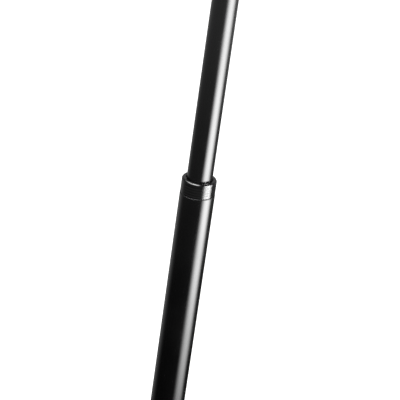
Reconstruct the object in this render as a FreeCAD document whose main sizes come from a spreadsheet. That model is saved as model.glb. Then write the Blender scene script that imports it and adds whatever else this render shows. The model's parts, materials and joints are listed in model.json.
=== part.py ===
"""An orchestra music stand: a tripod base, a two-tube shaft with a friction clutch, and a tilting desk.

Units are millimetres. +Z is up, -Y faces the player and +X is the player's right. The origin is on the floor,
at the centre of the stand's footprint. The shaft stands in front of it, at y = Dim.shaft_y, because the rear
leg reaches further than the desk does.
"""

import FreeCAD, Part
import math
import os

import Sketcher

VECTOR = FreeCAD.Vector
OUT_FOLDER = "parts"

# Driving dimensions: (alias, value, what it is)
DIMENSIONS = [
    # where the shaft stands, and how the stand is set
    ("shaft_y", -60.0, "shaft axis, front to back"),
    ("desk_tilt", 25.0, "desk leans back from the vertical, degrees"),
    ("run_gap", 0.05, "radial clearance of a moving fit"),
    ("seat_gap", 0.02, "radial clearance of a pressed or glued seat"),
    # lower tube
    ("lower_radius", 13.0, "lower tube, outside"),
    ("lower_bore", 11.5, "lower tube, inside"),
    ("spigot_radius", 12.9, "lower tube, end inside the hub"),
    ("lower_foot", 50.0, "height of the lower tube's bottom end"),
    ("lower_length", 640.0, "lower tube"),
    ("mouth_chamfer", 0.35, "chamfer on the lower tube's top edge"),
    ("small_chamfer", 1.0, "chamfer on the ends of turned pieces"),
    # upper tube, as set at rest
    ("upper_radius", 9.5, "upper tube, outside"),
    ("upper_bore", 8.3, "upper tube, inside"),
    ("upper_foot", 424.0, "height of the upper tube's bottom end"),
    ("upper_length", 620.0, "upper tube"),
    ("pivot_rise", 36.0, "tilt pivot above the upper tube's top end"),
    # collar on the mouth of the lower tube
    ("collar_radius", 12.85, "collar, outside"),
    ("collar_height", 11.7, "collar above the tube's end"),
    ("collar_mouth", 10.1, "hole in the collar's rim"),
    ("collar_crest", 1.5, "outside rounding of the collar's rim"),
    ("collar_brim", 0.6, "inside rounding of the collar's rim"),
    ("collar_seam", 0.3, "chamfer where the collar meets the tube's end"),
    ("collar_first_ring", 2.2, "lowest grip ring above the tube's end"),
    ("collar_spigot", 24.0, "collar inside the tube"),
    ("collar_groove", 0.12, "depth of the turned grip rings"),
    ("collar_pitch", 2.1, "spacing of the turned grip rings"),
    ("bush_seat", 10.8, "radius of the bearing bush's seat"),
    ("felt_low", 6.5, "bottom of the felt groove above the tube's end"),
    ("felt_height", 2.3, "felt wiper ring"),
    ("felt_seat", 11.0, "radius of the felt groove"),
    # clutch inside the lower tube, measured down from the tube's end
    ("bush_low", 8.0, "bottom of the bearing bush"),
    ("clutch_low", 40.0, "bottom of the clutch fingers"),
    ("finger_inner", 10.25, "clutch fingers, inside radius"),
    ("finger_slot", 2.0, "slot between clutch fingers"),
    ("garter_height", 35.0, "garter spring's height below the tube's end"),
    ("garter_wire", 0.3, "garter spring's wire radius"),
    # hub
    ("hub_radius", 20.0, "hub, outside"),
    ("hub_neck", 16.5, "hub's neck round the tube"),
    ("hub_low", 44.0, "underside of the hub"),
    ("hub_shoulder", 90.0, "top of the hub's full diameter"),
    ("hub_top", 102.0, "top of the hub's neck"),
    ("hub_chamfer", 1.5, "chamfer under the hub"),
    # legs
    ("leg_tip", 262.0, "end of a leg from the shaft axis"),
    ("leg_root_low", 50.0, "underside of a leg at the hub"),
    ("leg_root_high", 87.0, "top of a leg at the hub"),
    ("leg_tip_low", 8.0, "underside of a leg at its tip"),
    ("leg_tip_high", 22.0, "top of a leg at its tip"),
    ("leg_arch", 760.0, "radius of a leg's arch"),
    ("leg_root_width", 34.0, "leg width at the shaft axis"),
    ("leg_tip_width", 22.0, "leg width at its tip"),
    ("leg_wall", 2.0, "leg sheet thickness"),
    ("leg_edge", 6.0, "rounding of a leg's long edges"),
    # rubber feet
    ("foot_back", 26.0, "foot reaches this far back along the leg"),
    ("foot_nose", 8.0, "foot stands this far out past the leg"),
    ("foot_width", 29.0, "foot"),
    ("foot_skin", 3.5, "rubber above the leg"),
    ("foot_round", 2.5, "rounding of the foot's edges"),
    ("foot_bevel", 3.5, "bevel at the bottom of the foot's nose"),
    ("foot_brow", 8.0, "bevel at the top of the foot's nose"),
    ("foot_slope", 9.6, "rise of the foot's top towards its heel"),
    # fastening under the hub
    ("plug_height", 24.0, "threaded plug in the lower tube"),
    ("bolt_radius", 5.0, "base bolt"),
    ("bolt_length", 30.0, "base bolt above its washers"),
    ("bolt_across", 16.0, "base bolt's head across flats"),
    ("head_land", 0.47, "radius of a head's flat face, as a share of its size across flats"),
    ("head_slope", 0.13, "height of a head's corner bevel, as a share of its size across flats"),
    ("bolt_head", 6.4, "base bolt's head"),
    ("washer_radius", 11.0, "base washer"),
    ("washer_thick", 2.0, "base washer"),
    ("lock_radius", 8.6, "lock washer"),
    ("lock_thick", 2.2, "lock washer"),
    ("bumper_height", 12.0, "rubber stop on the plug"),
    ("bumper_bevel", 2.5, "bevel round the rubber stop's top"),
    ("slit_width", 1.2, "slit in the lock washer"),
    ("bolt_play", 0.3, "radial play of a washer on its bolt"),
    # foot of the upper tube
    ("journal_radius", 7.0, "end plug's journal"),
    ("bush_length", 30.0, "guide bush"),
    ("bush_land", 8.0, "each end of the guide bush that rubs in the tube"),
    ("bush_relief", 0.8, "depth of the guide bush's waist"),
    ("bush_bevel", 1.5, "bevel on the guide bush's ends"),
    ("plug_shoulder", 2.0, "end plug's shoulder"),
    ("plug_in_tube", 24.0, "end plug inside the tube"),
    ("clip_thick", 1.0, "retaining clip"),
    ("clip_groove", 6.3, "radius of the clip's groove"),
    ("clip_radius", 9.2, "retaining clip, outside"),
    ("plug_end", 3.4, "end plug below the clip"),
    # neck on top of the upper tube
    ("neck_in_tube", 36.0, "neck inside the tube"),
    ("neck_radius", 11.0, "neck's shoulder"),
    ("neck_shoulder", 6.0, "height of the neck's shoulder"),
    ("tongue_thick", 12.0, "neck's tongue, between the ears"),
    ("tongue_round", 11.0, "neck's tongue round the pivot"),
    ("pin_drop", 18.0, "cross pin below the tube's top end"),
    ("pin_radius", 2.0, "cross pin"),
    # tilt joint
    ("pivot_radius", 4.0, "pivot bolt"),
    ("disc_radius", 10.5, "friction disc"),
    ("disc_thick", 1.5, "friction disc"),
    ("ear_gap", 0.05, "between a disc and an ear"),
    ("ear_thick", 2.5, "clevis sheet"),
    ("ear_round", 12.0, "ear round the pivot"),
    ("clevis_height", 72.0, "clevis web"),
    ("clevis_bend", 2.0, "clevis inside bend radius"),
    ("pivot_washer", 8.0, "flat washer under the pivot bolt"),
    ("pivot_washer_thick", 1.6, "flat washer"),
    ("cone_thick", 0.9, "disc spring sheet"),
    ("cone_rise", 0.6, "disc spring dish"),
    ("pivot_across", 13.0, "pivot bolt's head across flats"),
    ("pivot_head", 5.3, "pivot bolt's head"),
    ("nut_height", 6.5, "lock nut's hexagon"),
    ("nut_crown", 2.0, "lock nut's crown"),
    # desk
    ("desk_offset", 32.0, "pivot to the desk's back face"),
    ("desk_sheet", 1.6, "desk sheet thickness"),
    ("desk_width", 508.0, "desk"),
    ("desk_rise", 168.0, "pivot to the desk's top edge"),
    ("desk_drop", 150.0, "pivot to the underside of the ledge"),
    ("desk_corner", 18.0, "desk's top corners"),
    ("desk_flange", 10.0, "depth of the desk's folded edge"),
    ("desk_fold", 1.3, "outside radius of the folded edge"),
    ("flange_stop", 12.0, "folded edge ends this far above the ledge"),
    ("ledge_depth", 60.0, "ledge in front of the desk"),
    ("ledge_lip", 7.0, "ledge's upturned front edge"),
    ("ledge_bend", 2.0, "ledge's inside bend radius"),
    ("ledge_corner", 3.0, "corners of the ledge's upturned edge"),
    ("plate_width", 124.0, "spreader plate"),
    ("plate_height", 116.0, "spreader plate"),
    ("plate_thick", 2.0, "spreader plate"),
    ("plate_corner", 12.0, "spreader plate's corners"),
    ("rivet_x", 50.0, "rivet from the desk's middle"),
    ("rivet_z", 46.0, "rivet from the pivot's height"),
    ("rivet_radius", 2.5, "rivet shank"),
    ("rivet_head", 4.6, "rivet head radius"),
    ("rivet_dome", 1.9, "rivet head height"),
    ("rivet_tail", 3.6, "radius of a rivet's set tail"),
    ("rivet_set", 1.2, "height of a rivet's set tail"),
]

LEGS = [("rear", 90.0), ("left", 210.0), ("right", 330.0)]
FINGERS = 6
GRIP_RINGS = 4

LOWER_TOP = "Dim.lower_foot + Dim.lower_length"
UPPER_TOP = "Dim.upper_foot + Dim.upper_length"
PIVOT_Z = "Dim.upper_foot + Dim.upper_length + Dim.pivot_rise"
EAR_INNER = "(Dim.tongue_thick / 2 + Dim.disc_thick + Dim.ear_gap)"
EAR_OUTER = "(Dim.tongue_thick / 2 + Dim.disc_thick + Dim.ear_gap + Dim.ear_thick)"

doc = FreeCAD.newDocument("music_stand")
nodes = {}


# ---------------------------------------------------------------- helpers


def make_sheet():
    """Puts the driving dimensions in a spreadsheet named Dim: what each is, its value and its alias."""
    sheet = doc.addObject("Spreadsheet::Sheet", "Dim")
    for row, (alias, value, words) in enumerate(DIMENSIONS, start=1):
        sheet.set(f"A{row}", words)
        sheet.set(f"B{row}", str(value))
        sheet.setAlias(f"B{row}", alias)
    doc.recompute()
    return sheet


dim = make_sheet()


def size(expression):
    """The number that an expression over the sheet gives."""
    return float(dim.evalExpression(expression.replace("Dim.", "")))


def place(obj, height="0", tilted=False, turn=None):
    """Stands an object on the shaft's axis at a height. A tilted one leans back as the desk does."""
    if tilted:
        obj.Placement.Rotation = FreeCAD.Rotation(VECTOR(1, 0, 0), -dim.desk_tilt)
    if turn is not None:
        obj.Placement.Rotation = FreeCAD.Rotation(VECTOR(0, 0, 1), turn)
    obj.setExpression(".Placement.Base.y", "Dim.shaft_y")
    obj.setExpression(".Placement.Base.z", height)
    return obj


def new_body(name, height="0", tilted=False):
    """A body that is one sub-part."""
    body = doc.addObject("PartDesign::Body", name)
    nodes[name] = body
    return place(body, height, tilted)


def sketch_on(body, name, plane, offset=None):
    """A sketch on one of the body's own origin planes, moved along the plane's normal by offset."""
    sketch = body.newObject("Sketcher::SketchObject", name)
    origin = [f for f in body.Origin.OriginFeatures if f.Role == plane][0]
    sketch.AttachmentSupport = (origin, [""])
    sketch.MapMode = "FlatFace"
    if offset is not None:
        sketch.setExpression(".AttachmentOffset.Base.z", offset)
    return sketch


def free_sketch(name, upright):
    """A sketch outside a body, on the floor's plane or upright on the XZ plane."""
    sketch = doc.addObject("Sketcher::SketchObject", name)
    if upright:
        sketch.Placement.Rotation = FreeCAD.Rotation(VECTOR(1, 0, 0), 90)
    return sketch


def bind(sketch, constraint, expression):
    """Adds a constraint whose value follows the expression."""
    index = sketch.addConstraint(constraint)
    sketch.setExpression(f"Constraints[{index}]", expression)


def arc_between(start, end, radius, turn):
    """The arc from start to end. turn is 1 when it runs counter-clockwise, and -1 when clockwise."""
    chord = end - start
    side = VECTOR(-chord.y, chord.x, 0).normalize() * turn
    centre = (start + end) * 0.5 + side * math.sqrt(radius**2 - (chord.Length / 2) ** 2)
    first, last = (start, end) if turn > 0 else (end, start)
    begins = math.atan2(first.y - centre.y, first.x - centre.x)
    finishes = math.atan2(last.y - centre.y, last.x - centre.x)
    return Part.ArcOfCircle(Part.Circle(centre, VECTOR(0, 0, 1), radius), begins, finishes)


def outline(sketch, corners):
    """Draws a closed outline whose corners all follow the sheet.

    A corner is (x, y) before a straight side, or (x, y, radius, turn) before an arc.
    """
    points = [VECTOR(size(c[0]), size(c[1]), 0) for c in corners]
    firsts, lasts, numbers = [], [], []
    for index, corner in enumerate(corners):
        start, end = points[index], points[(index + 1) % len(points)]
        backwards = len(corner) == 4 and corner[3] < 0
        if len(corner) == 4:
            side = arc_between(start, end, size(corner[2]), corner[3])
        else:
            side = Part.LineSegment(start, end)
        numbers.append(sketch.addGeometry(side, False))
        firsts.append(2 if backwards else 1)
        lasts.append(1 if backwards else 2)
    for index, corner in enumerate(corners):
        number, following = numbers[index], (index + 1) % len(corners)
        joint = (number, lasts[index], numbers[following], firsts[following])
        sketch.addConstraint(Sketcher.Constraint("Coincident", *joint))
    for index, corner in enumerate(corners):
        end = (-1, 1, numbers[index], firsts[index])
        bind(sketch, Sketcher.Constraint("DistanceX", *end, points[index].x), corner[0])
        bind(sketch, Sketcher.Constraint("DistanceY", *end, points[index].y), corner[1])
        if len(corner) == 4:
            radius = Sketcher.Constraint("Radius", numbers[index], size(corner[2]))
            bind(sketch, radius, corner[2])


def circle(sketch, radius, x="0", y="0"):
    """Draws a circle whose radius and centre follow the sheet."""
    centre = VECTOR(size(x), size(y), 0)
    round_ = Part.Circle(centre, VECTOR(0, 0, 1), size(radius))
    number = sketch.addGeometry(round_, False)
    bind(sketch, Sketcher.Constraint("DistanceX", -1, 1, number, 3, centre.x), x)
    bind(sketch, Sketcher.Constraint("DistanceY", -1, 1, number, 3, centre.y), y)
    bind(sketch, Sketcher.Constraint("Radius", number, size(radius)), radius)


def hexagon(sketch, across):
    """Draws a hexagon of that size across flats, with two corners on the X axis."""
    corners = []
    for step in range(6):
        angle = f"{step * 60} deg"
        reach = f"{across} / sqrt(3)"
        corners.append((f"{reach} * cos({angle})", f"{reach} * sin({angle})"))
    outline(sketch, corners)


def slot_from_axis(sketch, reach, half):
    """Draws a straight slot from the origin along +X."""
    outline(sketch, [("0", f"-{half}"), (reach, f"-{half}"), (reach, half), ("0", half)])


def round_rectangle(sketch, half_x, half_y, radius):
    """Draws a rectangle with round corners about the sketch's origin."""
    outline(
        sketch,
        [
            (f"-{half_x} + {radius}", f"-{half_y}"),
            (f"{half_x} - {radius}", f"-{half_y}", radius, 1),
            (half_x, f"-{half_y} + {radius}"),
            (half_x, f"{half_y} - {radius}", radius, 1),
            (f"{half_x} - {radius}", half_y),
            (f"-{half_x} + {radius}", half_y, radius, 1),
            (f"-{half_x}", f"{half_y} - {radius}"),
            (f"-{half_x}", f"-{half_y} + {radius}", radius, 1),
        ],
    )


def turn_about(body, kind, sketch, axis):
    """Adds (Revolution) or cuts (Groove) a full turn of the sketch."""
    feature = body.newObject(f"PartDesign::{kind}", f"{sketch.Name}_turn")
    feature.Profile = sketch
    feature.ReferenceAxis = (sketch, [axis])
    feature.Angle = 360
    return feature


def turned(name, height, corners):
    """A body turned about the vertical axis from an outline of (radius, height) corners."""
    body = new_body(name, height)
    sketch = sketch_on(body, f"{name}_profile", "XZ_Plane")
    outline(sketch, corners)
    turn_about(body, "Revolution", sketch, "V_Axis")
    return body


def pad(body, sketch, length, both_ways=False, reverse=False):
    """Adds material from a sketch."""
    feature = body.newObject("PartDesign::Pad", f"{sketch.Name}_pad")
    feature.Profile = sketch
    feature.setExpression("Length", length)
    feature.Midplane = both_ways
    feature.Reversed = reverse
    return feature


def pocket(body, sketch, both_ways=True):
    """Cuts a sketch through the whole body."""
    feature = body.newObject("PartDesign::Pocket", f"{sketch.Name}_pocket")
    feature.Profile = sketch
    feature.Type = "ThroughAll"
    feature.Midplane = both_ways
    return feature


def edge_names(shape, wanted):
    """Names of the edges that wanted(edge) picks."""
    return [f"Edge{i}" for i, edge in enumerate(shape.Edges, start=1) if wanted(edge)]


def circle_at(radius, height):
    """Picks the round edges about Z of that radius and height."""

    def wanted(edge):
        curve = edge.Curve
        if not isinstance(curve, Part.Circle):
            return False
        return abs(curve.Radius - radius) < 1e-3 and abs(curve.Center.z - height) < 1e-3

    return wanted


def soften(body, kind, wanted, amount):
    """Fillets or chamfers the edges of the body's last feature that wanted picks."""
    doc.recompute()
    base = body.Tip
    local = base.Shape.copy()
    names = edge_names(local, wanted)
    if not names:
        raise RuntimeError(f"{body.Name}: no edge to soften")
    feature = body.newObject(f"PartDesign::{kind}", f"{body.Name}_{kind.lower()}")
    feature.Base = (base, names)
    feature.setExpression("Radius" if kind == "Fillet" else "Size", amount)
    return feature


def extrusion(sketch, length, both_ways):
    """A solid extruded from a free sketch along its normal."""
    solid = doc.addObject("Part::Extrusion", f"{sketch.Name}_solid")
    solid.Base = sketch
    solid.DirMode = "Normal"
    solid.Solid = True
    solid.Symmetric = both_ways
    solid.setExpression("LengthFwd", length)
    return solid


def common(name, parts):
    solid = doc.addObject("Part::MultiCommon", name)
    solid.Shapes = parts
    return solid


def cut(name, base, tool):
    solid = doc.addObject("Part::Cut", name)
    solid.Base = base
    solid.Tool = tool
    return solid


def fillet(name, base, wanted, radius):
    """A Part fillet on the edges that wanted picks."""
    doc.recompute()
    solid = doc.addObject("Part::Fillet", name)
    solid.Base = base
    solid.Edges = [(int(n[4:]), radius, radius) for n in edge_names(base.Shape, wanted)]
    return solid


def group(name, members):
    """One sub-part made of several separate solids."""
    solid = doc.addObject("Part::Compound", name)
    solid.Links = members
    nodes[name] = solid
    return solid


# ---------------------------------------------------------------- base


def make_hub():
    """The hub: a turned socket that holds the lower tube, with a web for the base bolt."""
    socket = "Dim.spigot_radius + Dim.seat_gap"
    hole = "Dim.bolt_radius + Dim.run_gap * 4"
    turned(
        "hub",
        "0",
        [
            (hole, "Dim.hub_low"),
            ("Dim.hub_radius - Dim.hub_chamfer", "Dim.hub_low"),
            ("Dim.hub_radius", "Dim.hub_low + Dim.hub_chamfer"),
            ("Dim.hub_radius", "Dim.hub_shoulder", "Dim.hub_radius - Dim.hub_neck", 1),
            ("Dim.hub_neck", "Dim.hub_shoulder + Dim.hub_radius - Dim.hub_neck"),
            ("Dim.hub_neck", "Dim.hub_top - Dim.small_chamfer"),
            ("Dim.hub_neck - Dim.small_chamfer", "Dim.hub_top"),
            (socket, "Dim.hub_top"),
            (socket, "Dim.lower_foot"),
            (hole, "Dim.lower_foot"),
        ],
    )


def leg_outer(name):
    """A leg's outer form: the arched side view crossed with the tapered plan, its top edges rounded."""
    side = free_sketch(f"{name}_side", True)
    outline(
        side,
        [
            ("0", "Dim.leg_root_low", "Dim.leg_arch", -1),
            ("Dim.leg_tip", "Dim.leg_tip_low"),
            ("Dim.leg_tip", "Dim.leg_tip_high", "Dim.leg_arch", 1),
            ("0", "Dim.leg_root_high"),
        ],
    )
    plan = free_sketch(f"{name}_plan", False)
    outline(
        plan,
        [
            ("0", "-Dim.leg_root_width / 2"),
            ("Dim.leg_tip", "-Dim.leg_tip_width / 2"),
            ("Dim.leg_tip", "Dim.leg_tip_width / 2"),
            ("0", "Dim.leg_root_width / 2"),
        ],
    )
    solids = [
        extrusion(side, "Dim.leg_root_width * 2", True),
        extrusion(plan, "Dim.leg_root_high * 2", False),
    ]
    blank = common(f"{name}_blank", solids)

    def top_edge(edge):
        middle = edge.valueAt((edge.FirstParameter + edge.LastParameter) / 2)
        return edge.Length > dim.leg_tip / 2 and middle.z > dim.leg_root_low

    return fillet(f"{name}_outer", blank, top_edge, dim.leg_edge)


def leg_hollow(name):
    """The channel inside a leg, open underneath and at both ends."""
    side = free_sketch(f"{name}_hollow_side", True)
    drop = "Dim.leg_wall * 1.3"  # more than the wall, because the hollow runs on past the falling tip
    outline(
        side,
        [
            ("0", "-Dim.leg_wall"),
            ("Dim.leg_tip + Dim.leg_wall", "-Dim.leg_wall"),
            ("Dim.leg_tip + Dim.leg_wall", f"Dim.leg_tip_high - {drop}", "Dim.leg_arch", 1),
            ("0", "Dim.leg_root_high - Dim.leg_wall"),
        ],
    )
    plan = free_sketch(f"{name}_hollow_plan", False)
    root, tip = "(Dim.leg_root_width / 2 - Dim.leg_wall)", "(Dim.leg_tip_width / 2 - Dim.leg_wall)"
    outline(
        plan,
        [
            ("0", f"-{root}"),
            ("Dim.leg_tip + Dim.leg_wall", f"-{tip}"),
            ("Dim.leg_tip + Dim.leg_wall", tip),
            ("0", root),
        ],
    )
    deep = extrusion(plan, "Dim.leg_root_high * 3", True)
    blank = common(f"{name}_hollow_blank", [extrusion(side, "Dim.leg_root_width * 2", True), deep])

    def top_edge(edge):
        middle = edge.valueAt((edge.FirstParameter + edge.LastParameter) / 2)
        return edge.Length > dim.leg_tip / 2 and middle.z > dim.leg_tip_low

    return fillet(f"{name}_hollow", blank, top_edge, dim.leg_edge - dim.leg_wall)


def make_leg(side_name, angle):
    """A pressed-steel leg: an inverted channel whose inner end is coped to the hub."""
    name = f"leg_{side_name}"
    shell = cut(f"{name}_shell", leg_outer(name), leg_hollow(name))
    hub = doc.addObject("Part::Cylinder", f"{name}_cope")
    hub.setExpression("Radius", "Dim.hub_radius")
    hub.setExpression("Height", "Dim.leg_root_high * 2")
    leg = cut(name, shell, hub)
    nodes[name] = place(leg, turn=angle)


def make_foot(side_name, angle):
    """A rubber foot: a boot that wraps the leg's tip and stands on the floor."""
    name = f"foot_{side_name}"
    side = free_sketch(f"{name}_side", True)
    nose = "(Dim.leg_tip + Dim.foot_nose)"
    heel = "(Dim.leg_tip - Dim.foot_back)"
    crown = "(Dim.leg_tip_high + Dim.foot_skin)"
    outline(
        side,
        [
            (heel, "0"),
            (f"{nose} - Dim.foot_bevel", "0"),
            (nose, "Dim.foot_bevel"),
            (nose, f"{crown} - Dim.foot_brow"),
            (f"{nose} - Dim.foot_brow", crown),
            (heel, f"{crown} + Dim.foot_slope"),
        ],
    )
    block = extrusion(side, "Dim.foot_width", True)

    def above_floor(edge):
        return edge.BoundBox.ZMax > dim.foot_bevel + 0.01

    boot = fillet(f"{name}_boot", block, above_floor, dim.foot_round)
    foot = cut(name, boot, leg_outer(name))
    nodes[name] = place(foot, turn=angle)


def make_base_fastening():
    """The bolt from below, its washers, the threaded plug in the tube's end and the rubber stop on it."""
    bore = "Dim.bolt_radius + Dim.run_gap"
    rim = "Dim.lower_bore - Dim.seat_gap"
    turned(
        "tube_plug",
        "Dim.lower_foot",
        [
            (bore, "0"),
            (f"{rim} - Dim.small_chamfer", "0"),
            (rim, "Dim.small_chamfer"),
            (rim, "Dim.plug_height"),
            (bore, "Dim.plug_height"),
        ],
    )
    hole, stop = "Dim.bolt_radius", "Dim.lower_bore - Dim.bolt_play"
    turned(
        "stop_bumper",
        "Dim.lower_foot + Dim.plug_height",
        [
            (hole, "0"),
            (stop, "0"),
            (stop, "Dim.bumper_height - Dim.bumper_bevel"),
            (f"{stop} - Dim.bumper_bevel", "Dim.bumper_height"),
            (f"{hole} + Dim.small_chamfer", "Dim.bumper_height"),
            (hole, "Dim.bumper_height - Dim.small_chamfer"),
        ],
    )
    loose = "Dim.bolt_radius + Dim.bolt_play"
    washer = [
        (loose, "0"),
        ("Dim.washer_radius", "0"),
        ("Dim.washer_radius", "Dim.washer_thick"),
        (loose, "Dim.washer_thick"),
    ]
    turned("base_washer", "Dim.hub_low - Dim.washer_thick", washer)
    ring = [
        (loose, "0"),
        ("Dim.lock_radius", "0"),
        ("Dim.lock_radius", "Dim.lock_thick"),
        (loose, "Dim.lock_thick"),
    ]
    lock = turned("lock_washer", "Dim.hub_low - Dim.washer_thick - Dim.lock_thick", ring)
    slit = sketch_on(lock, "lock_slit", "XY_Plane")
    slot_from_axis(slit, "Dim.lock_radius * 2", "(Dim.slit_width / 2)")
    pocket(lock, slit)


def hex_bolt(name, height, across, head, radius, length):
    """A hexagon bolt along +Z, with its head below z = 0 of its own frame."""
    body = new_body(name, height)
    flats = sketch_on(body, f"{name}_flats", "XY_Plane")
    hexagon(flats, across)
    pad(body, flats, head, reverse=True)
    corner = sketch_on(body, f"{name}_corner", "XZ_Plane")
    outline(
        corner,
        [
            (f"{across} * Dim.head_land", f"-{head}"),
            (f"{across} * Dim.head_land", f"-{head} - Dim.small_chamfer"),
            (f"{across} * 0.7", f"-{head} - Dim.small_chamfer"),
            (f"{across} * 0.7", f"-{head} + {across} * Dim.head_slope"),
        ],
    )
    turn_about(body, "Groove", corner, "V_Axis")
    shank = sketch_on(body, f"{name}_shank", "XZ_Plane")
    outline(
        shank,
        [
            ("0", "-1"),
            (radius, "-1"),
            (radius, f"{length} - Dim.small_chamfer"),
            (f"{radius} - Dim.small_chamfer", length),
            ("0", length),
        ],
    )
    turn_about(body, "Revolution", shank, "V_Axis")
    return body


# ---------------------------------------------------------------- shaft


def make_lower_tube():
    """The outer tube, turned down slightly where it sits in the hub."""
    turned(
        "lower_tube",
        "Dim.lower_foot",
        [
            ("Dim.lower_bore", "0"),
            ("Dim.spigot_radius", "0"),
            ("Dim.spigot_radius", "Dim.hub_top - Dim.lower_foot"),
            ("Dim.lower_radius", "Dim.hub_top - Dim.lower_foot"),
            ("Dim.lower_radius", "Dim.lower_length - Dim.mouth_chamfer"),
            ("Dim.lower_radius - Dim.mouth_chamfer", "Dim.lower_length"),
            ("Dim.lower_bore", "Dim.lower_length"),
        ],
    )


def make_collar():
    """The collar in the lower tube's mouth: a rounded rim, fine grip rings, a felt groove and a bush seat."""
    spigot = "Dim.lower_bore - Dim.seat_gap"
    felt_top = "Dim.felt_low + Dim.felt_height"
    throat = "Dim.upper_radius + 0.5"
    body = turned(
        "collar",
        LOWER_TOP,
        [
            ("Dim.bush_seat", "-Dim.collar_spigot"),
            (spigot, "-Dim.collar_spigot"),
            (spigot, "0"),
            ("Dim.collar_radius - Dim.collar_seam", "0"),
            ("Dim.collar_radius", "Dim.collar_seam"),
            ("Dim.collar_radius", "Dim.collar_height"),
            ("Dim.collar_mouth", "Dim.collar_height"),
            ("Dim.collar_mouth", felt_top),
            ("Dim.felt_seat", felt_top),
            ("Dim.felt_seat", "Dim.felt_low"),
            (throat, "Dim.felt_low"),
            (throat, "2"),
            ("Dim.bush_seat", "2"),
        ],
    )
    outer = circle_at(dim.collar_radius, dim.collar_height)
    soften(body, "Fillet", outer, "Dim.collar_crest")
    inner = circle_at(dim.collar_mouth, dim.collar_height)
    soften(body, "Fillet", inner, "Dim.collar_brim")
    ring = sketch_on(body, "collar_ring", "XZ_Plane")
    outline(
        ring,
        [
            ("Dim.collar_radius - Dim.collar_groove", "Dim.collar_first_ring"),
            ("Dim.collar_radius + 1", "Dim.collar_first_ring - 0.5"),
            ("Dim.collar_radius + 1", "Dim.collar_first_ring + 0.5"),
        ],
    )
    groove = turn_about(body, "Groove", ring, "V_Axis")
    doc.recompute()
    rings = body.newObject("PartDesign::LinearPattern", "collar_rings")
    rings.Originals = [groove]
    rings.Direction = (ring, ["V_Axis"])
    rings.setExpression("Length", f"Dim.collar_pitch * {GRIP_RINGS - 1}")
    rings.Occurrences = GRIP_RINGS
    body.Tip = rings


def make_mouth_parts():
    """What the collar holds: the felt wiper and the bearing bush that guides the upper tube."""
    slide = "Dim.upper_radius + Dim.run_gap"
    felt = "Dim.felt_seat - Dim.seat_gap"
    turned(
        "felt_wiper",
        LOWER_TOP,
        [
            (slide, "Dim.felt_low + 0.02"),
            (felt, "Dim.felt_low + 0.02"),
            (felt, "Dim.felt_low + Dim.felt_height - 0.02"),
            (slide, "Dim.felt_low + Dim.felt_height - 0.02"),
        ],
    )
    seat = "Dim.bush_seat - Dim.seat_gap"
    turned(
        "bearing_bush",
        LOWER_TOP,
        [
            (slide, "-Dim.bush_low"),
            (seat, "-Dim.bush_low"),
            (seat, "2"),
            (f"{slide} + 0.4", "2"),
            (slide, "1.6"),
        ],
    )


def make_clutch():
    """The friction clutch: a slotted spring-steel sleeve, its split liner, and a garter spring round it."""
    outer = "Dim.bush_seat - Dim.seat_gap"
    sleeve = turned(
        "clutch_sleeve",
        LOWER_TOP,
        [
            ("Dim.finger_inner", "-Dim.clutch_low"),
            (outer, "-Dim.clutch_low"),
            (outer, "-Dim.bush_low"),
            ("Dim.finger_inner", "-Dim.bush_low"),
        ],
    )
    slot = sketch_on(sleeve, "clutch_slot", "XZ_Plane")
    outline(
        slot,
        [
            ("-Dim.finger_slot / 2", "-Dim.clutch_low - 1"),
            ("Dim.finger_slot / 2", "-Dim.clutch_low - 1"),
            ("Dim.finger_slot / 2", "-Dim.bush_low - 7", "Dim.finger_slot / 2", 1),
            ("0", "-Dim.bush_low - 7 + Dim.finger_slot / 2", "Dim.finger_slot / 2", 1),
            ("-Dim.finger_slot / 2", "-Dim.bush_low - 7"),
        ],
    )
    cutting = pocket(sleeve, slot, both_ways=False)
    doc.recompute()
    fingers = sleeve.newObject("PartDesign::PolarPattern", "clutch_fingers")
    fingers.Originals = [cutting]
    fingers.Axis = (slot, ["V_Axis"])
    fingers.Angle = 360
    fingers.Occurrences = FINGERS
    sleeve.Tip = fingers

    slide = "Dim.upper_radius + Dim.run_gap"
    liner_outer = "Dim.finger_inner - Dim.seat_gap"
    liner = turned(
        "clutch_liner",
        LOWER_TOP,
        [
            (slide, "-Dim.clutch_low + 1"),
            (liner_outer, "-Dim.clutch_low + 1"),
            (liner_outer, "-Dim.bush_low - 2"),
            (slide, "-Dim.bush_low - 2"),
        ],
    )
    split = sketch_on(liner, "liner_split", "XY_Plane")
    slot_from_axis(split, "Dim.lower_bore", "(Dim.finger_slot / 2)")
    pocket(liner, split)

    garter = doc.addObject("Part::Torus", "garter_spring")
    garter.setExpression("Radius1", "Dim.bush_seat + Dim.garter_wire")
    garter.setExpression("Radius2", "Dim.garter_wire")
    nodes["garter_spring"] = place(garter, f"{LOWER_TOP} - Dim.garter_height")


def make_upper_tube():
    """The inner tube, cross-drilled for the neck's pin."""
    body = turned(
        "upper_tube",
        "Dim.upper_foot",
        [
            ("Dim.upper_bore", "0"),
            ("Dim.upper_radius", "0"),
            ("Dim.upper_radius", "Dim.upper_length"),
            ("Dim.upper_bore", "Dim.upper_length"),
        ],
    )
    hole = sketch_on(body, "tube_pin_hole", "YZ_Plane")
    circle(hole, "Dim.pin_radius", "0", "Dim.upper_length - Dim.pin_drop")
    pocket(body, hole)


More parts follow.
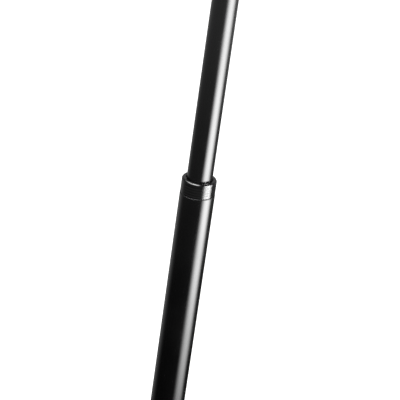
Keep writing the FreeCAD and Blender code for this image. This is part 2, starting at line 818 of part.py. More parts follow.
def make_tube_foot():
    """The upper tube's foot: a pressed plug, the guide bush that turns on it, and the clip below the bush."""
    in_tube = "Dim.upper_bore - Dim.seat_gap"
    bush_top = "-Dim.plug_shoulder"
    clip_top = "-(Dim.plug_shoulder + Dim.bush_length + 0.2)"
    clip_low = f"{clip_top} - Dim.clip_thick - 0.1"
    end = f"{clip_low} - Dim.plug_end"
    turned(
        "end_plug",
        "Dim.upper_foot",
        [
            ("0", end),
            ("Dim.journal_radius - Dim.small_chamfer", end),
            ("Dim.journal_radius", f"{end} + Dim.small_chamfer"),
            ("Dim.journal_radius", clip_low),
            ("Dim.clip_groove", clip_low),
            ("Dim.clip_groove", clip_top),
            ("Dim.journal_radius", clip_top),
            ("Dim.journal_radius", bush_top),
            ("Dim.upper_radius - 0.2", bush_top),
            ("Dim.upper_radius - 0.2", "0"),
            (in_tube, "0"),
            (in_tube, "Dim.plug_in_tube - Dim.small_chamfer"),
            (f"{in_tube} - Dim.small_chamfer", "Dim.plug_in_tube"),
            ("0", "Dim.plug_in_tube"),
        ],
    )
    journal = "Dim.journal_radius + Dim.run_gap"
    rubbing = "Dim.lower_bore - Dim.run_gap"
    low, high = "-(Dim.plug_shoulder + Dim.bush_length + 0.1)", "-Dim.plug_shoulder - 0.1"
    turned(
        "guide_bush",
        "Dim.upper_foot",
        [
            (journal, low),
            (f"{rubbing} - Dim.bush_bevel", low),
            (rubbing, f"{low} + Dim.bush_bevel"),
            (rubbing, f"{low} + Dim.bush_land"),
            (f"{rubbing} - Dim.bush_relief", f"{low} + Dim.bush_land + Dim.bush_relief"),
            (f"{rubbing} - Dim.bush_relief", f"{high} - Dim.bush_land - Dim.bush_relief"),
            (rubbing, f"{high} - Dim.bush_land"),
            (rubbing, f"{high} - Dim.bush_bevel"),
            (f"{rubbing} - Dim.bush_bevel", high),
            (journal, high),
        ],
    )
    clip = turned(
        "retaining_clip",
        "Dim.upper_foot",
        [
            ("Dim.clip_groove + Dim.seat_gap", f"{clip_top} - 0.05 - Dim.clip_thick"),
            ("Dim.clip_radius", f"{clip_top} - 0.05 - Dim.clip_thick"),
            ("Dim.clip_radius", f"{clip_top} - 0.05"),
            ("Dim.clip_groove + Dim.seat_gap", f"{clip_top} - 0.05"),
        ],
    )
    mouth = sketch_on(clip, "clip_mouth", "XY_Plane")
    reach = "Dim.clip_radius * 2"
    outline(mouth, [("0", "0"), (reach, f"-{reach} * 0.5"), (reach, f"{reach} * 0.5")])
    pocket(clip, mouth)


# ---------------------------------------------------------------- neck and tilt joint


def make_neck():
    """The cast neck: a plug in the upper tube, a round shoulder, and a tongue drilled for the pivot bolt."""
    in_tube = "Dim.upper_bore - Dim.seat_gap"
    body = turned(
        "neck",
        UPPER_TOP,
        [
            ("0", "-Dim.neck_in_tube"),
            (f"{in_tube} - Dim.small_chamfer", "-Dim.neck_in_tube"),
            (in_tube, "-Dim.neck_in_tube + Dim.small_chamfer"),
            (in_tube, "0"),
            ("Dim.neck_radius - Dim.small_chamfer", "0"),
            ("Dim.neck_radius", "Dim.small_chamfer"),
            ("Dim.neck_radius", "Dim.neck_shoulder", "Dim.neck_radius", 1),
            ("0", "Dim.neck_shoulder + Dim.neck_radius"),
        ],
    )
    side = sketch_on(body, "tongue_side", "YZ_Plane")
    outline(
        side,
        [
            ("-Dim.tongue_round * 0.8", "Dim.neck_shoulder"),
            ("Dim.tongue_round * 0.8", "Dim.neck_shoulder"),
            ("Dim.tongue_round", "Dim.pivot_rise", "Dim.tongue_round", 1),
            ("0", "Dim.pivot_rise + Dim.tongue_round", "Dim.tongue_round", 1),
            ("-Dim.tongue_round", "Dim.pivot_rise"),
        ],
    )
    pad(body, side, "Dim.tongue_thick", both_ways=True)
    bore = sketch_on(body, "neck_bore", "YZ_Plane")
    circle(bore, "Dim.pivot_radius + Dim.run_gap", "0", "Dim.pivot_rise")
    pocket(body, bore)
    pin = sketch_on(body, "neck_pin_hole", "YZ_Plane")
    circle(pin, "Dim.pin_radius", "0", "-Dim.pin_drop")
    pocket(body, pin)


def across_x(name, radius, inner, left, right):
    """A plain ring about an axis along X, from x = left to x = right."""
    outer_solid = doc.addObject("Part::Cylinder", f"{name}_outer")
    inner_solid = doc.addObject("Part::Cylinder", f"{name}_inner")
    for solid, measure in ((outer_solid, radius), (inner_solid, inner)):
        solid.Placement.Rotation = FreeCAD.Rotation(VECTOR(0, 1, 0), 90)
        solid.setExpression("Radius", measure)
        solid.setExpression("Height", f"{right} - ({left})")
        solid.setExpression(".Placement.Base.x", left)
    return cut(name, outer_solid, inner_solid)


def make_neck_pin():
    """The spring pin through the tube and the neck."""
    half = "(Dim.upper_radius - 0.2)"
    radius = "Dim.pin_radius - Dim.seat_gap"
    pin = across_x("neck_pin", radius, "Dim.pin_radius * 0.6", f"-{half}", half)
    nodes["neck_pin"] = place(pin, f"{UPPER_TOP} - Dim.pin_drop")


def make_friction_discs():
    """Two fibre discs, one each side of the neck's tongue."""
    near, far = "Dim.tongue_thick / 2", "(Dim.tongue_thick / 2 + Dim.disc_thick)"
    hole = "Dim.pivot_radius + 0.15"
    right = across_x("disc_right", "Dim.disc_radius", hole, near, far)
    left = across_x("disc_left", "Dim.disc_radius", hole, f"-{far}", f"-{near}")
    place(group("friction_discs", [left, right]), PIVOT_Z)


def make_pivot_bolt():
    """The pivot bolt along X, its head on the right-hand ear's washer."""
    head_face = f"({EAR_OUTER} + Dim.pivot_washer_thick)"
    tail = f"{EAR_OUTER} + Dim.pivot_washer_thick + Dim.cone_thick * 2 + Dim.cone_rise * 2 + Dim.nut_height"
    length = f"{head_face} + {tail} + Dim.nut_crown + Dim.small_chamfer * 1.5"
    bolt = hex_bolt("pivot_bolt", PIVOT_Z, "Dim.pivot_across", "Dim.pivot_head", "Dim.pivot_radius", length)
    bolt.Placement.Rotation = FreeCAD.Rotation(VECTOR(0, 1, 0), -90)
    bolt.setExpression(".Placement.Base.x", head_face)


def make_pivot_stack():
    """What the pivot bolt clamps outside the ears: flat washers, a pair of disc springs and the lock nut."""
    hole = "Dim.pivot_radius + 0.2"
    thick = "Dim.pivot_washer_thick"
    outside = f"({EAR_OUTER} + {thick})"
    right = across_x("washer_right", "Dim.pivot_washer", hole, EAR_OUTER, outside)
    left = across_x("washer_left", "Dim.pivot_washer", hole, f"-{outside}", f"-{EAR_OUTER}")
    place(group("pivot_washers", [left, right]), PIVOT_Z)

    cones = []
    rim, sheet = "Dim.pivot_washer - Dim.bolt_play", "Dim.cone_thick"
    for index, sense in enumerate((1, -1)):
        base = f"{index} * ({sheet} + Dim.cone_rise)"
        low = "0" if sense > 0 else "Dim.cone_rise"
        high = "Dim.cone_rise" if sense > 0 else "0"
        cone = doc.addObject("PartDesign::Body", f"cone_{index}")
        sketch = sketch_on(cone, f"cone_{index}_profile", "XZ_Plane")
        corners = [
            (hole, f"{base} + {high}"),
            (rim, f"{base} + {low}"),
            (rim, f"{base} + {low} + {sheet}"),
            (hole, f"{base} + {high} + {sheet}"),
        ]
        outline(sketch, corners)
        turn_about(cone, "Revolution", sketch, "V_Axis")
        cones.append(cone)
    springs = group("disc_springs", cones)
    springs.Placement.Rotation = FreeCAD.Rotation(VECTOR(0, 1, 0), -90)
    place(springs, PIVOT_Z)
    springs.setExpression(".Placement.Base.x", f"-{EAR_OUTER} - {thick}")

    nut = new_body("pivot_nut", PIVOT_Z)
    flats = sketch_on(nut, "nut_flats", "XY_Plane")
    hexagon(flats, "Dim.pivot_across")
    circle(flats, "Dim.pivot_radius + Dim.seat_gap")
    pad(nut, flats, "Dim.nut_height")
    corner = sketch_on(nut, "nut_corner", "XZ_Plane")
    across = "Dim.pivot_across"
    outline(
        corner,
        [
            (f"{across} * Dim.head_land", "-Dim.small_chamfer"),
            (f"{across} * 0.7", "-Dim.small_chamfer"),
            (f"{across} * 0.7", f"{across} * Dim.head_slope"),
            (f"{across} * Dim.head_land", "0"),
        ],
    )
    turn_about(nut, "Groove", corner, "V_Axis")
    crown = sketch_on(nut, "nut_crown_profile", "XZ_Plane")
    inner = "Dim.pivot_radius + Dim.seat_gap"
    crown_top, crown_round = "(Dim.nut_height + Dim.nut_crown)", "(Dim.nut_crown * 0.7)"
    outline(
        crown,
        [
            (inner, "Dim.nut_height - 0.5"),
            (f"{across} * Dim.head_land", "Dim.nut_height - 0.5"),
            (f"{across} * Dim.head_land", f"{crown_top} - {crown_round}", crown_round, 1),
            (f"{across} * Dim.head_land - {crown_round}", crown_top),
            (inner, crown_top),
        ],
    )
    turn_about(nut, "Revolution", crown, "V_Axis")
    nut.Placement.Rotation = FreeCAD.Rotation(VECTOR(0, 1, 0), -90)
    start = f"-{EAR_OUTER} - {thick} - Dim.cone_thick * 2 - Dim.cone_rise * 2"
    nut.setExpression(".Placement.Base.x", start)


# ---------------------------------------------------------------- desk


def make_clevis():
    """The tilt clevis: a bent channel whose web lies on the spreader plate and whose ears hold the pivot."""
    web_outside = "(Dim.desk_offset - Dim.plate_thick)"
    web_inside = "(Dim.desk_offset - Dim.plate_thick - Dim.ear_thick)"
    bend_in, bend_out = "Dim.clevis_bend", "(Dim.clevis_bend + Dim.ear_thick)"
    body = new_body("tilt_clevis", PIVOT_Z, tilted=True)
    plan = sketch_on(body, "clevis_plan", "XY_Plane")
    outline(
        plan,
        [
            (f"-{EAR_OUTER}", "Dim.ear_round"),
            (f"-{EAR_OUTER}", f"-{web_outside} + {bend_out}", bend_out, 1),
            (f"-{EAR_OUTER} + {bend_out}", f"-{web_outside}"),
            (f"{EAR_OUTER} - {bend_out}", f"-{web_outside}", bend_out, 1),
            (EAR_OUTER, f"-{web_outside} + {bend_out}"),
            (EAR_OUTER, "Dim.ear_round"),
            (EAR_INNER, "Dim.ear_round"),
            (EAR_INNER, f"-{web_inside} + {bend_in}", bend_in, -1),
            (f"{EAR_INNER} - {bend_in}", f"-{web_inside}"),
            (f"-{EAR_INNER} + {bend_in}", f"-{web_inside}", bend_in, -1),
            (f"-{EAR_INNER}", f"-{web_inside} + {bend_in}"),
            (f"-{EAR_INNER}", "Dim.ear_round"),
        ],
    )
    pad(body, plan, "Dim.clevis_height", both_ways=True)
    trim = sketch_on(body, "ear_trim", "YZ_Plane")
    half, reach = "(Dim.clevis_height / 2)", "(Dim.ear_round * 2)"
    for sense in (1, -1):
        outline(
            trim,
            [
                (f"-{web_inside} + {bend_in}", f"{half} * {sense}"),
                (f"-{web_inside} + {bend_in}", f"({half} + 5) * {sense}"),
                (reach, f"({half} + 5) * {sense}"),
                (reach, f"0.01 * {sense}"),
                ("Dim.ear_round", f"0.01 * {sense}", "Dim.ear_round", sense),
                ("Dim.ear_round * 0.25", f"Dim.ear_round * 0.96825 * {sense}"),
            ],
        )
    pocket(body, trim)
    hole = sketch_on(body, "clevis_hole", "YZ_Plane")
    circle(hole, "Dim.pivot_radius + 0.1")
    pocket(body, hole)


def rivet_places():
    """Where the rivets go, as (x, z) expressions from the pivot."""
    return [(f"{x} * Dim.rivet_x", f"{z} * Dim.rivet_z") for x in (-1, 1) for z in (-1, 1)]


def rivet_holes(body):
    """Cuts the rivet holes through a body."""
    holes = sketch_on(body, f"{body.Name}_rivet_holes", "XZ_Plane")
    for x, z in rivet_places():
        circle(holes, "Dim.rivet_radius + Dim.seat_gap", x, z)
    pocket(body, holes)


def make_spreader_plate():
    """The plate that spreads the tilt joint's load over the back of the desk."""
    body = new_body("spreader_plate", PIVOT_Z, tilted=True)
    face = sketch_on(body, "plate_face", "XZ_Plane", "Dim.desk_offset - Dim.plate_thick")
    round_rectangle(face, "(Dim.plate_width / 2)", "(Dim.plate_height / 2)", "Dim.plate_corner")
    pad(body, face, "Dim.plate_thick")
    rivet_holes(body)


def make_desk():
    """The desk: one folded sheet with a ledge, an upturned lip, and its sides and top folded back."""
    body = new_body("desk", PIVOT_Z, tilted=True)
    sheet = "Dim.desk_sheet"
    front = "(Dim.desk_offset + Dim.desk_sheet)"
    edge = "(Dim.desk_offset + Dim.desk_sheet + Dim.ledge_depth)"
    bend_in, bend_out = "Dim.ledge_bend", "(Dim.ledge_bend + Dim.desk_sheet)"
    section = sketch_on(body, "desk_section", "YZ_Plane")
    outline(
        section,
        [
            ("-Dim.desk_offset", "Dim.desk_rise"),
            (f"-{front}", "Dim.desk_rise"),
            (f"-{front}", f"-Dim.desk_drop + {bend_out}", bend_in, -1),
            (f"-{front} - {bend_in}", f"-Dim.desk_drop + {sheet}"),
            (f"-{edge} + {bend_out}", f"-Dim.desk_drop + {sheet}", bend_in, -1),
            (f"-{edge} + {sheet}", f"-Dim.desk_drop + {bend_out}"),
            (f"-{edge} + {sheet}", "-Dim.desk_drop + Dim.ledge_lip"),
            (f"-{edge}", "-Dim.desk_drop + Dim.ledge_lip"),
            (f"-{edge}", f"-Dim.desk_drop + {bend_out}", bend_out, 1),
            (f"-{edge} + {bend_out}", "-Dim.desk_drop"),
            (f"-Dim.desk_offset - {bend_out}", "-Dim.desk_drop", bend_out, 1),
            ("-Dim.desk_offset", f"-Dim.desk_drop + {bend_out}"),
        ],
    )
    pad(body, section, "Dim.desk_width", both_ways=True)

    def short_edge(height):
        """Picks the edges across the sheet at that height."""

        def wanted(edge_):
            level = all(abs(v.Z - height) < 1e-3 for v in edge_.Vertexes)
            return level and edge_.Length < 2 * dim.desk_sheet

        return wanted

    soften(body, "Fillet", short_edge(dim.desk_rise), "Dim.desk_corner")
    soften(body, "Fillet", short_edge(dim.ledge_lip - dim.desk_drop), "Dim.ledge_corner")

    rim = sketch_on(body, "desk_rim", "XZ_Plane", front)
    half, corner = "(Dim.desk_width / 2)", "Dim.desk_corner"
    inner_half, inner_corner = f"({half} - {sheet})", "(Dim.desk_corner - Dim.desk_sheet)"
    low, high = "-Dim.desk_drop + Dim.flange_stop", "Dim.desk_rise"
    inner_high = "(Dim.desk_rise - Dim.desk_sheet)"
    outline(
        rim,
        [
            (half, low),
            (half, f"{high} - {corner}", corner, 1),
            (f"{half} - {corner}", high),
            (f"-{half} + {corner}", high, corner, 1),
            (f"-{half}", f"{high} - {corner}"),
            (f"-{half}", low),
            (f"-{inner_half}", low),
            (f"-{inner_half}", f"{inner_high} - {inner_corner}", inner_corner, -1),
            (f"-{inner_half} + {inner_corner}", inner_high),
            (f"{inner_half} - {inner_corner}", inner_high, inner_corner, -1),
            (inner_half, f"{inner_high} - {inner_corner}"),
            (inner_half, low),
        ],
    )
    pad(body, rim, "Dim.desk_flange", reverse=True)

    def folded_edge(edge_):
        box = edge_.BoundBox
        on_front = abs(box.YMin + size(front)) < 1e-3 and abs(box.YMax + size(front)) < 1e-3
        outside = max(abs(box.XMin), abs(box.XMax)) > dim.desk_width / 2 - dim.desk_corner - 0.01
        above = box.ZMin > size(low) - 1e-3
        inner = box.XLength < dim.desk_width * 0.9 and box.ZMax < dim.desk_rise - dim.desk_corner - 1
        return on_front and outside and above and not (inner and box.ZLength < 1)

    soften(body, "Fillet", folded_edge, "Dim.desk_fold")

    rivet_holes(body)


def make_rivets():
    """Four rivets: a domed head on the desk's face, a shank, and a set tail on the spreader plate."""
    rivets = []
    front = "(Dim.desk_offset + Dim.desk_sheet)"
    back = "(Dim.desk_offset - Dim.plate_thick)"
    shank, head, tail = "Dim.rivet_radius", "Dim.rivet_head", "Dim.rivet_tail"
    dome = "((Dim.rivet_head ^ 2 + Dim.rivet_dome ^ 2) / (2 * Dim.rivet_dome))"
    for index, (x, z) in enumerate(rivet_places()):
        body = doc.addObject("PartDesign::Body", f"rivet_{index}")
        sketch = sketch_on(body, f"rivet_{index}_profile", "XY_Plane")
        outline(
            sketch,
            [
                ("0", f"-{front} - Dim.rivet_dome", dome, 1),
                (head, f"-{front}"),
                (shank, f"-{front}"),
                (shank, f"-{back}"),
                (tail, f"-{back}"),
                (f"{tail} - 0.5", f"-{back} + Dim.rivet_set"),
                ("0", f"-{back} + Dim.rivet_set"),
            ],
        )
        turn_about(body, "Revolution", sketch, "V_Axis")
        body.setExpression(".Placement.Base.x", x)
        body.setExpression(".Placement.Base.z", z)
        rivets.append(body)
    place(group("desk_rivets", rivets), PIVOT_Z, tilted=True)


# ---------------------------------------------------------------- build and write


def build():
    make_hub()
    for side_name, angle in LEGS:
        make_leg(side_name, angle)
        make_foot(side_name, angle)
    make_base_fastening()
    under_washers = "Dim.hub_low - Dim.washer_thick - Dim.lock_thick"
    across, head = "Dim.bolt_across", "Dim.bolt_head"
    hex_bolt("base_bolt", under_washers, across, head, "Dim.bolt_radius", "Dim.bolt_length")
    make_lower_tube()
    make_collar()
    make_mouth_parts()
    make_clutch()
    make_upper_tube()
    make_tube_foot()
    make_neck()
    make_neck_pin()
    make_friction_discs()
    make_pivot_bolt()
    make_pivot_stack()
    make_clevis()
    make_spreader_plate()
    make_desk()
    make_rivets()
    doc.recompute()


def check():
    """Stops if any object failed, or any sub-part's shape is empty or not valid."""
    for obj in doc.Objects:
        if "Invalid" in obj.State or "Error" in obj.State:
            raise RuntimeError(f"{obj.Name} failed: {obj.State}")
    for name, obj in nodes.items():
        shape = obj.Shape
        if shape.isNull() or not shape.isValid() or not shape.Solids:
            raise RuntimeError(f"{name} has no valid solid")


def write():
    os.makedirs(OUT_FOLDER, exist_ok=True)
    for name, obj in nodes.items():
        obj.Label = name
        obj.Shape.exportStep(os.path.join(OUT_FOLDER, f"{name}.step"))
        print(f"{name}: {obj.Shape.Volume / 1000:.2f} cm3, {len(obj.Shape.Solids)} solid(s)")


build()
check()
write()
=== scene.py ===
"""The looks of an orchestra music stand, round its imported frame. Metres, +Z up, -Y towards the player."""

import json
import math

import bmesh
import bpy
from mathutils import Matrix, Vector

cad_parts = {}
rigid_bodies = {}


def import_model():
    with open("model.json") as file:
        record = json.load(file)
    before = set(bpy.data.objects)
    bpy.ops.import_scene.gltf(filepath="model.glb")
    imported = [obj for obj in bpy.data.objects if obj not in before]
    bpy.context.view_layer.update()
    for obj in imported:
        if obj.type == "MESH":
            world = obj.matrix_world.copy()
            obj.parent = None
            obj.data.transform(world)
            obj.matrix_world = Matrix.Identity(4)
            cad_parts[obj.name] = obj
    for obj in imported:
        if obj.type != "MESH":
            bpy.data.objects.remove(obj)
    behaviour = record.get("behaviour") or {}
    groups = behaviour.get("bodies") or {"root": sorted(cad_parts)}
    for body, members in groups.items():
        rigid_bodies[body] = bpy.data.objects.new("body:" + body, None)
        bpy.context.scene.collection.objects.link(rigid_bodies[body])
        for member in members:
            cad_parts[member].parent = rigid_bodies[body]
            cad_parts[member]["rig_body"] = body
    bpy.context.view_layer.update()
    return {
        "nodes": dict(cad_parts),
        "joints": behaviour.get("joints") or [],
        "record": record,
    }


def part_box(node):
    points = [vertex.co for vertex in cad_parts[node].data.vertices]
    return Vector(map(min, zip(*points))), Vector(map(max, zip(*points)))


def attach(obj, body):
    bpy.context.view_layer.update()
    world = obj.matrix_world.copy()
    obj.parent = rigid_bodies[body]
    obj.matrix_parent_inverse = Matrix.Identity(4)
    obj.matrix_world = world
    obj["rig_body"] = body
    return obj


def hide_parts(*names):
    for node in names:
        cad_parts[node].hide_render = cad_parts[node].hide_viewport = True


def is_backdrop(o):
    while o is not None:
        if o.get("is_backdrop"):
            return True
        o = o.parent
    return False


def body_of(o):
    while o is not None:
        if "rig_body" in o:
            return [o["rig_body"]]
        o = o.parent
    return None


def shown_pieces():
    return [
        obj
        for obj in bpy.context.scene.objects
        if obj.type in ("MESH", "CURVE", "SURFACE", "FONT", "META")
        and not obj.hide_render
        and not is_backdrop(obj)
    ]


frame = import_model()

MM = 0.001
ROUND = 192  # facets round a turned piece


# -------------------- sizes, all from the frame


def radius_of(node):
    low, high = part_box(node)
    return (high.x - low.x) / 2


LOWER_LOW, LOWER_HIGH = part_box("lower_tube")
UPPER_LOW, UPPER_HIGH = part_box("upper_tube")
HUB_LOW, HUB_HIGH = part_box("hub")
SHAFT = Vector((0, (LOWER_LOW.y + LOWER_HIGH.y) / 2, 0))
SEAM_Z = LOWER_HIGH.z
RIM_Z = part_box("collar")[1].z
TILT = math.radians(25)  # how far the desk leans back at rest
TILT_JOINT = next(j for j in frame["joints"] if j["name"] == "desk_tilt")
PIVOT = Vector(TILT_JOINT["pos_m"])
DESK_FRAME = Matrix.Translation(PIVOT) @ Matrix.Rotation(-TILT, 4, "X")


# -------------------- mesh helpers


def linked(name, data):
    """A new object in the scene."""
    thing = bpy.data.objects.new(name, data)
    bpy.context.scene.collection.objects.link(thing)
    return thing


def new_piece(mesh, body, slot, replaced=()):
    """Links a mesh as a piece of the same name, which rides on a body and has a slot's finish."""
    piece = linked(mesh.name, mesh)
    mesh.materials.append(MATERIALS[slot])
    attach(piece, body)
    if replaced:
        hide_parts(*replaced)
    return piece


def mesh_from(name, bm, sharp=35):
    """A smooth-shaded mesh with its sharp edges kept."""
    bmesh.ops.recalc_face_normals(bm, faces=bm.faces)
    mesh = bpy.data.meshes.new(name)
    bm.to_mesh(mesh)
    bm.free()
    mesh.shade_smooth()
    mesh.set_sharp_from_angle(angle=math.radians(sharp))
    return mesh


def arc(centre, radius, start, end, steps=8):
    """Points of an arc, by angle in degrees, both ends included."""
    points = []
    for i in range(steps + 1):
        angle = math.radians(start + (end - start) * i / steps)
        points.append((centre[0] + radius * math.cos(angle), centre[1] + radius * math.sin(angle)))
    return points


HOLD = 0.25 * MM  # how near an edge loop lies to each end of a long side, so that its shading stays flat


def held(outline):
    """The closed outline with a point just inside each end of its long sides."""
    points = []
    for here, there in zip(outline, [*outline[1:], outline[0]]):
        points.append(here)
        length = math.dist(here, there)
        if length > 5 * HOLD:
            for share in (HOLD / length, 1 - HOLD / length):
                points.append(tuple(a + (b - a) * share for a, b in zip(here, there)))
    return points


def lathe(outline, axis=SHAFT, facets=ROUND):
    """Turns a closed outline of (radius, height) points round the vertical through axis."""
    outline = held(outline)
    bm = bmesh.new()
    rings = []
    for turn in range(facets):
        angle = 2 * math.pi * turn / facets
        c, s = math.cos(angle), math.sin(angle)
        rings.append([bm.verts.new((axis.x + r * c, axis.y + r * s, z)) for r, z in outline])
    for turn in range(facets):
        here, following = rings[turn], rings[(turn + 1) % facets]
        for i in range(len(outline)):
            j = (i + 1) % len(outline)
            bm.faces.new((here[i], following[i], following[j], here[j]))
    bmesh.ops.remove_doubles(bm, verts=bm.verts, dist=1e-7)
    return bm


def loft(loops):
    """Joins closed loops of equal length in a row with quads, and caps the two ends."""
    bm = bmesh.new()
    rows = [[bm.verts.new(p) for p in loop] for loop in loops]
    for here, following in zip(rows, rows[1:]):
        for i in range(len(here)):
            j = (i + 1) % len(here)
            bm.faces.new((here[i], here[j], following[j], following[i]))
    bm.faces.new(rows[0])
    bm.faces.new(list(reversed(rows[-1])))
    return bm


SPECK = 0.001 * MM  # sides shorter than this are closed up


def settle(piece, sharp=35):
    """Applies a piece's modifiers, clears faces of no size and marks its sharp edges afresh."""
    graph = bpy.context.evaluated_depsgraph_get()
    mesh = bpy.data.meshes.new_from_object(piece.evaluated_get(graph))
    piece.modifiers.clear()
    bm = bmesh.new()
    bm.from_mesh(mesh)
    bmesh.ops.dissolve_degenerate(bm, edges=bm.edges, dist=SPECK)
    bm.to_mesh(mesh)
    bm.free()
    piece.data = mesh
    mesh.shade_smooth()
    mesh.set_sharp_from_angle(angle=math.radians(sharp))
    return piece


def edge_bevel(piece, width, angle=40):
    """Softens a piece's sharp edges."""
    bevel = piece.modifiers.new("soft_edges", "BEVEL")
    bevel.width = width
    bevel.segments = 2
    bevel.limit_method = "ANGLE"
    bevel.angle_limit = math.radians(angle)


def bead(path, normals, radius, ripple=0.14, pitch=1.5 * MM, sides=10):
    """A weld bead: a rippled half-buried tube along a path, bulging along the normals."""
    loops = []
    travelled = 0.0
    for i, point in enumerate(path):
        ahead = path[min(i + 1, len(path) - 1)]
        behind = path[max(i - 1, 0)]
        if i:
            travelled += (point - path[i - 1]).length
        along = (ahead - behind).normalized()
        out = (normals[i] - along * normals[i].dot(along)).normalized()
        across = along.cross(out)
        end_taper = min(1.0, 0.35 + 0.65 * min(i, len(path) - 1 - i) / 3)
        wave = 1 - ripple * (0.5 - 0.5 * math.cos(2 * math.pi * travelled / pitch))
        size = radius * end_taper * wave
        loop = []
        for side in range(sides):
            angle = 2 * math.pi * side / sides
            loop.append(point + out * (size * math.cos(angle)) + across * (size * 1.25 * math.sin(angle)))
        loops.append(loop)
    return loft(loops)


def along_line(points, spacing):
    """Points spaced evenly along a line through the given ones."""
    result = [points[0]]
    for here, there in zip(points, points[1:]):
        steps = max(1, round((there - here).length / spacing))
        result += [here.lerp(there, (i + 1) / steps) for i in range(steps)]
    return result


# -------------------- materials


def shader(name, colour, roughness, metallic=0.0):
    """A material with its Principled shader set, and the parts that the finishes below add to."""
    material = bpy.data.materials.new(name)
    material.use_nodes = True
    tree = material.node_tree
    bsdf = tree.nodes["Principled BSDF"]
    bsdf.inputs["Base Color"].default_value = (*colour, 1)
    bsdf.inputs["Roughness"].default_value = roughness
    bsdf.inputs["Metallic"].default_value = metallic
    return material, tree, bsdf


def place_coordinates(tree, stretch=(1, 1, 1)):
    """Object coordinates in metres, each times a factor. A small one draws a pattern out along its axis."""
    source = tree.nodes.new("ShaderNodeTexCoord")
    mapping = tree.nodes.new("ShaderNodeMapping")
    mapping.inputs["Scale"].default_value = stretch
    tree.links.new(source.outputs["Object"], mapping.inputs["Vector"])
    return mapping.outputs["Vector"]


def noise_node(tree, where, scale, detail=4.0, roughness=0.55):
    node = tree.nodes.new("ShaderNodeTexNoise")
    node.inputs["Scale"].default_value = scale
    node.inputs["Detail"].default_value = detail
    node.inputs["Roughness"].default_value = roughness
    tree.links.new(where, node.inputs["Vector"])
    return node.outputs["Fac"]


def ramp(tree, source, start, end, low, high, kind="SMOOTHSTEP"):
    """A rise or fall of a number from low to high as the source goes from start to end, soft unless told."""
    node = tree.nodes.new("ShaderNodeMapRange")
    node.interpolation_type = kind
    for socket, value in (("From Min", start), ("From Max", end), ("To Min", low), ("To Max", high)):
        node.inputs[socket].default_value = value
    tree.links.new(source, node.inputs["Value"])
    return node.outputs["Result"]


def combined(tree, operation, first, second):
    """Two numbers put together by one operation."""
    node = tree.nodes.new("ShaderNodeMath")
    node.operation = operation
    tree.links.new(first, node.inputs[0])
    tree.links.new(second, node.inputs[1])
    return node.outputs["Value"]


def vary(tree, source, socket, low, high, start=0.35, end=0.65):
    """Drives a number socket between low and high as the source goes from start to end."""
    tree.links.new(ramp(tree, source, start, end, low, high, kind="LINEAR"), socket)


def vary_colour(tree, source, socket, low, high, start=0.35, end=0.65):
    """Drives a colour socket between two colours as the source goes from start to end."""
    blend = tree.nodes.new("ShaderNodeValToRGB")
    for element, position, colour in zip(blend.color_ramp.elements, (start, end), (low, high)):
        element.position = position
        element.color = (*colour, 1)
    tree.links.new(source, blend.inputs["Fac"])
    tree.links.new(blend.outputs["Color"], socket)


def bump(tree, bsdf, layers):
    """Stacks bump layers, each (height source, depth in metres)."""
    before = None
    for height, depth in layers:
        node = tree.nodes.new("ShaderNodeBump")
        node.inputs["Distance"].default_value = depth
        tree.links.new(height, node.inputs["Height"])
        if before is not None:
            tree.links.new(before, node.inputs["Normal"])
        before = node.outputs["Normal"]
    tree.links.new(before, bsdf.inputs["Normal"])


def grey(level):
    return (level, level, level * 1.03)


def worn(tree, where, reach):
    """From 0 to 1, how much a point's finish is rubbed: only on hard edges, and in patches there."""
    rounded = tree.nodes.new("ShaderNodeBevel")
    rounded.samples = 6
    rounded.inputs["Radius"].default_value = reach
    surface = tree.nodes.new("ShaderNodeNewGeometry")
    agree = tree.nodes.new("ShaderNodeVectorMath")
    agree.operation = "DOT_PRODUCT"
    tree.links.new(rounded.outputs["Normal"], agree.inputs[0])
    tree.links.new(surface.outputs["Normal"], agree.inputs[1])
    edge = ramp(tree, agree.outputs["Value"], 0.90, 0.995, 1, 0)
    patches = ramp(tree, noise_node(tree, where, 70, detail=6, roughness=0.7), 0.42, 0.62, 0, 1)
    return combined(tree, "MULTIPLY", edge, patches)


def rub(tree, bsdf, wear, colour, roughness):
    """Shows another colour and roughness where the finish is rubbed."""
    for socket, kind, rubbed in (("Base Color", "RGBA", (*colour, 1)), ("Roughness", "FLOAT", roughness)):
        mix = tree.nodes.new("ShaderNodeMix")
        mix.data_type = kind
        before, after, result = (2, 3, 0) if kind == "FLOAT" else (6, 7, 2)
        tree.links.new(wear, mix.inputs[0])
        tree.links.new(bsdf.inputs[socket].links[0].from_socket, mix.inputs[before])
        mix.inputs[after].default_value = rubbed
        tree.links.new(mix.outputs[result], bsdf.inputs[socket])


def enamel(name, level, roughness, peel_depth):
    """Gloss black stoving enamel: faint orange peel, and a little haze in patches."""
    material, tree, bsdf = shader(name, grey(level), roughness)
    where = place_coordinates(tree)
    patches = noise_node(tree, where, 22)
    peel = noise_node(tree, where, 420, detail=2)
    specks = noise_node(tree, where, 2600, detail=1)
    vary(tree, patches, bsdf.inputs["Roughness"], roughness * 0.85, roughness * 1.25)
    vary_colour(tree, specks, bsdf.inputs["Base Color"], grey(level), grey(level * 2.2), 0.62, 0.8)
    bump(tree, bsdf, [(peel, peel_depth)])
    return material


EDGE_REACH = 0.7 * MM  # how wide the rubbed edges are


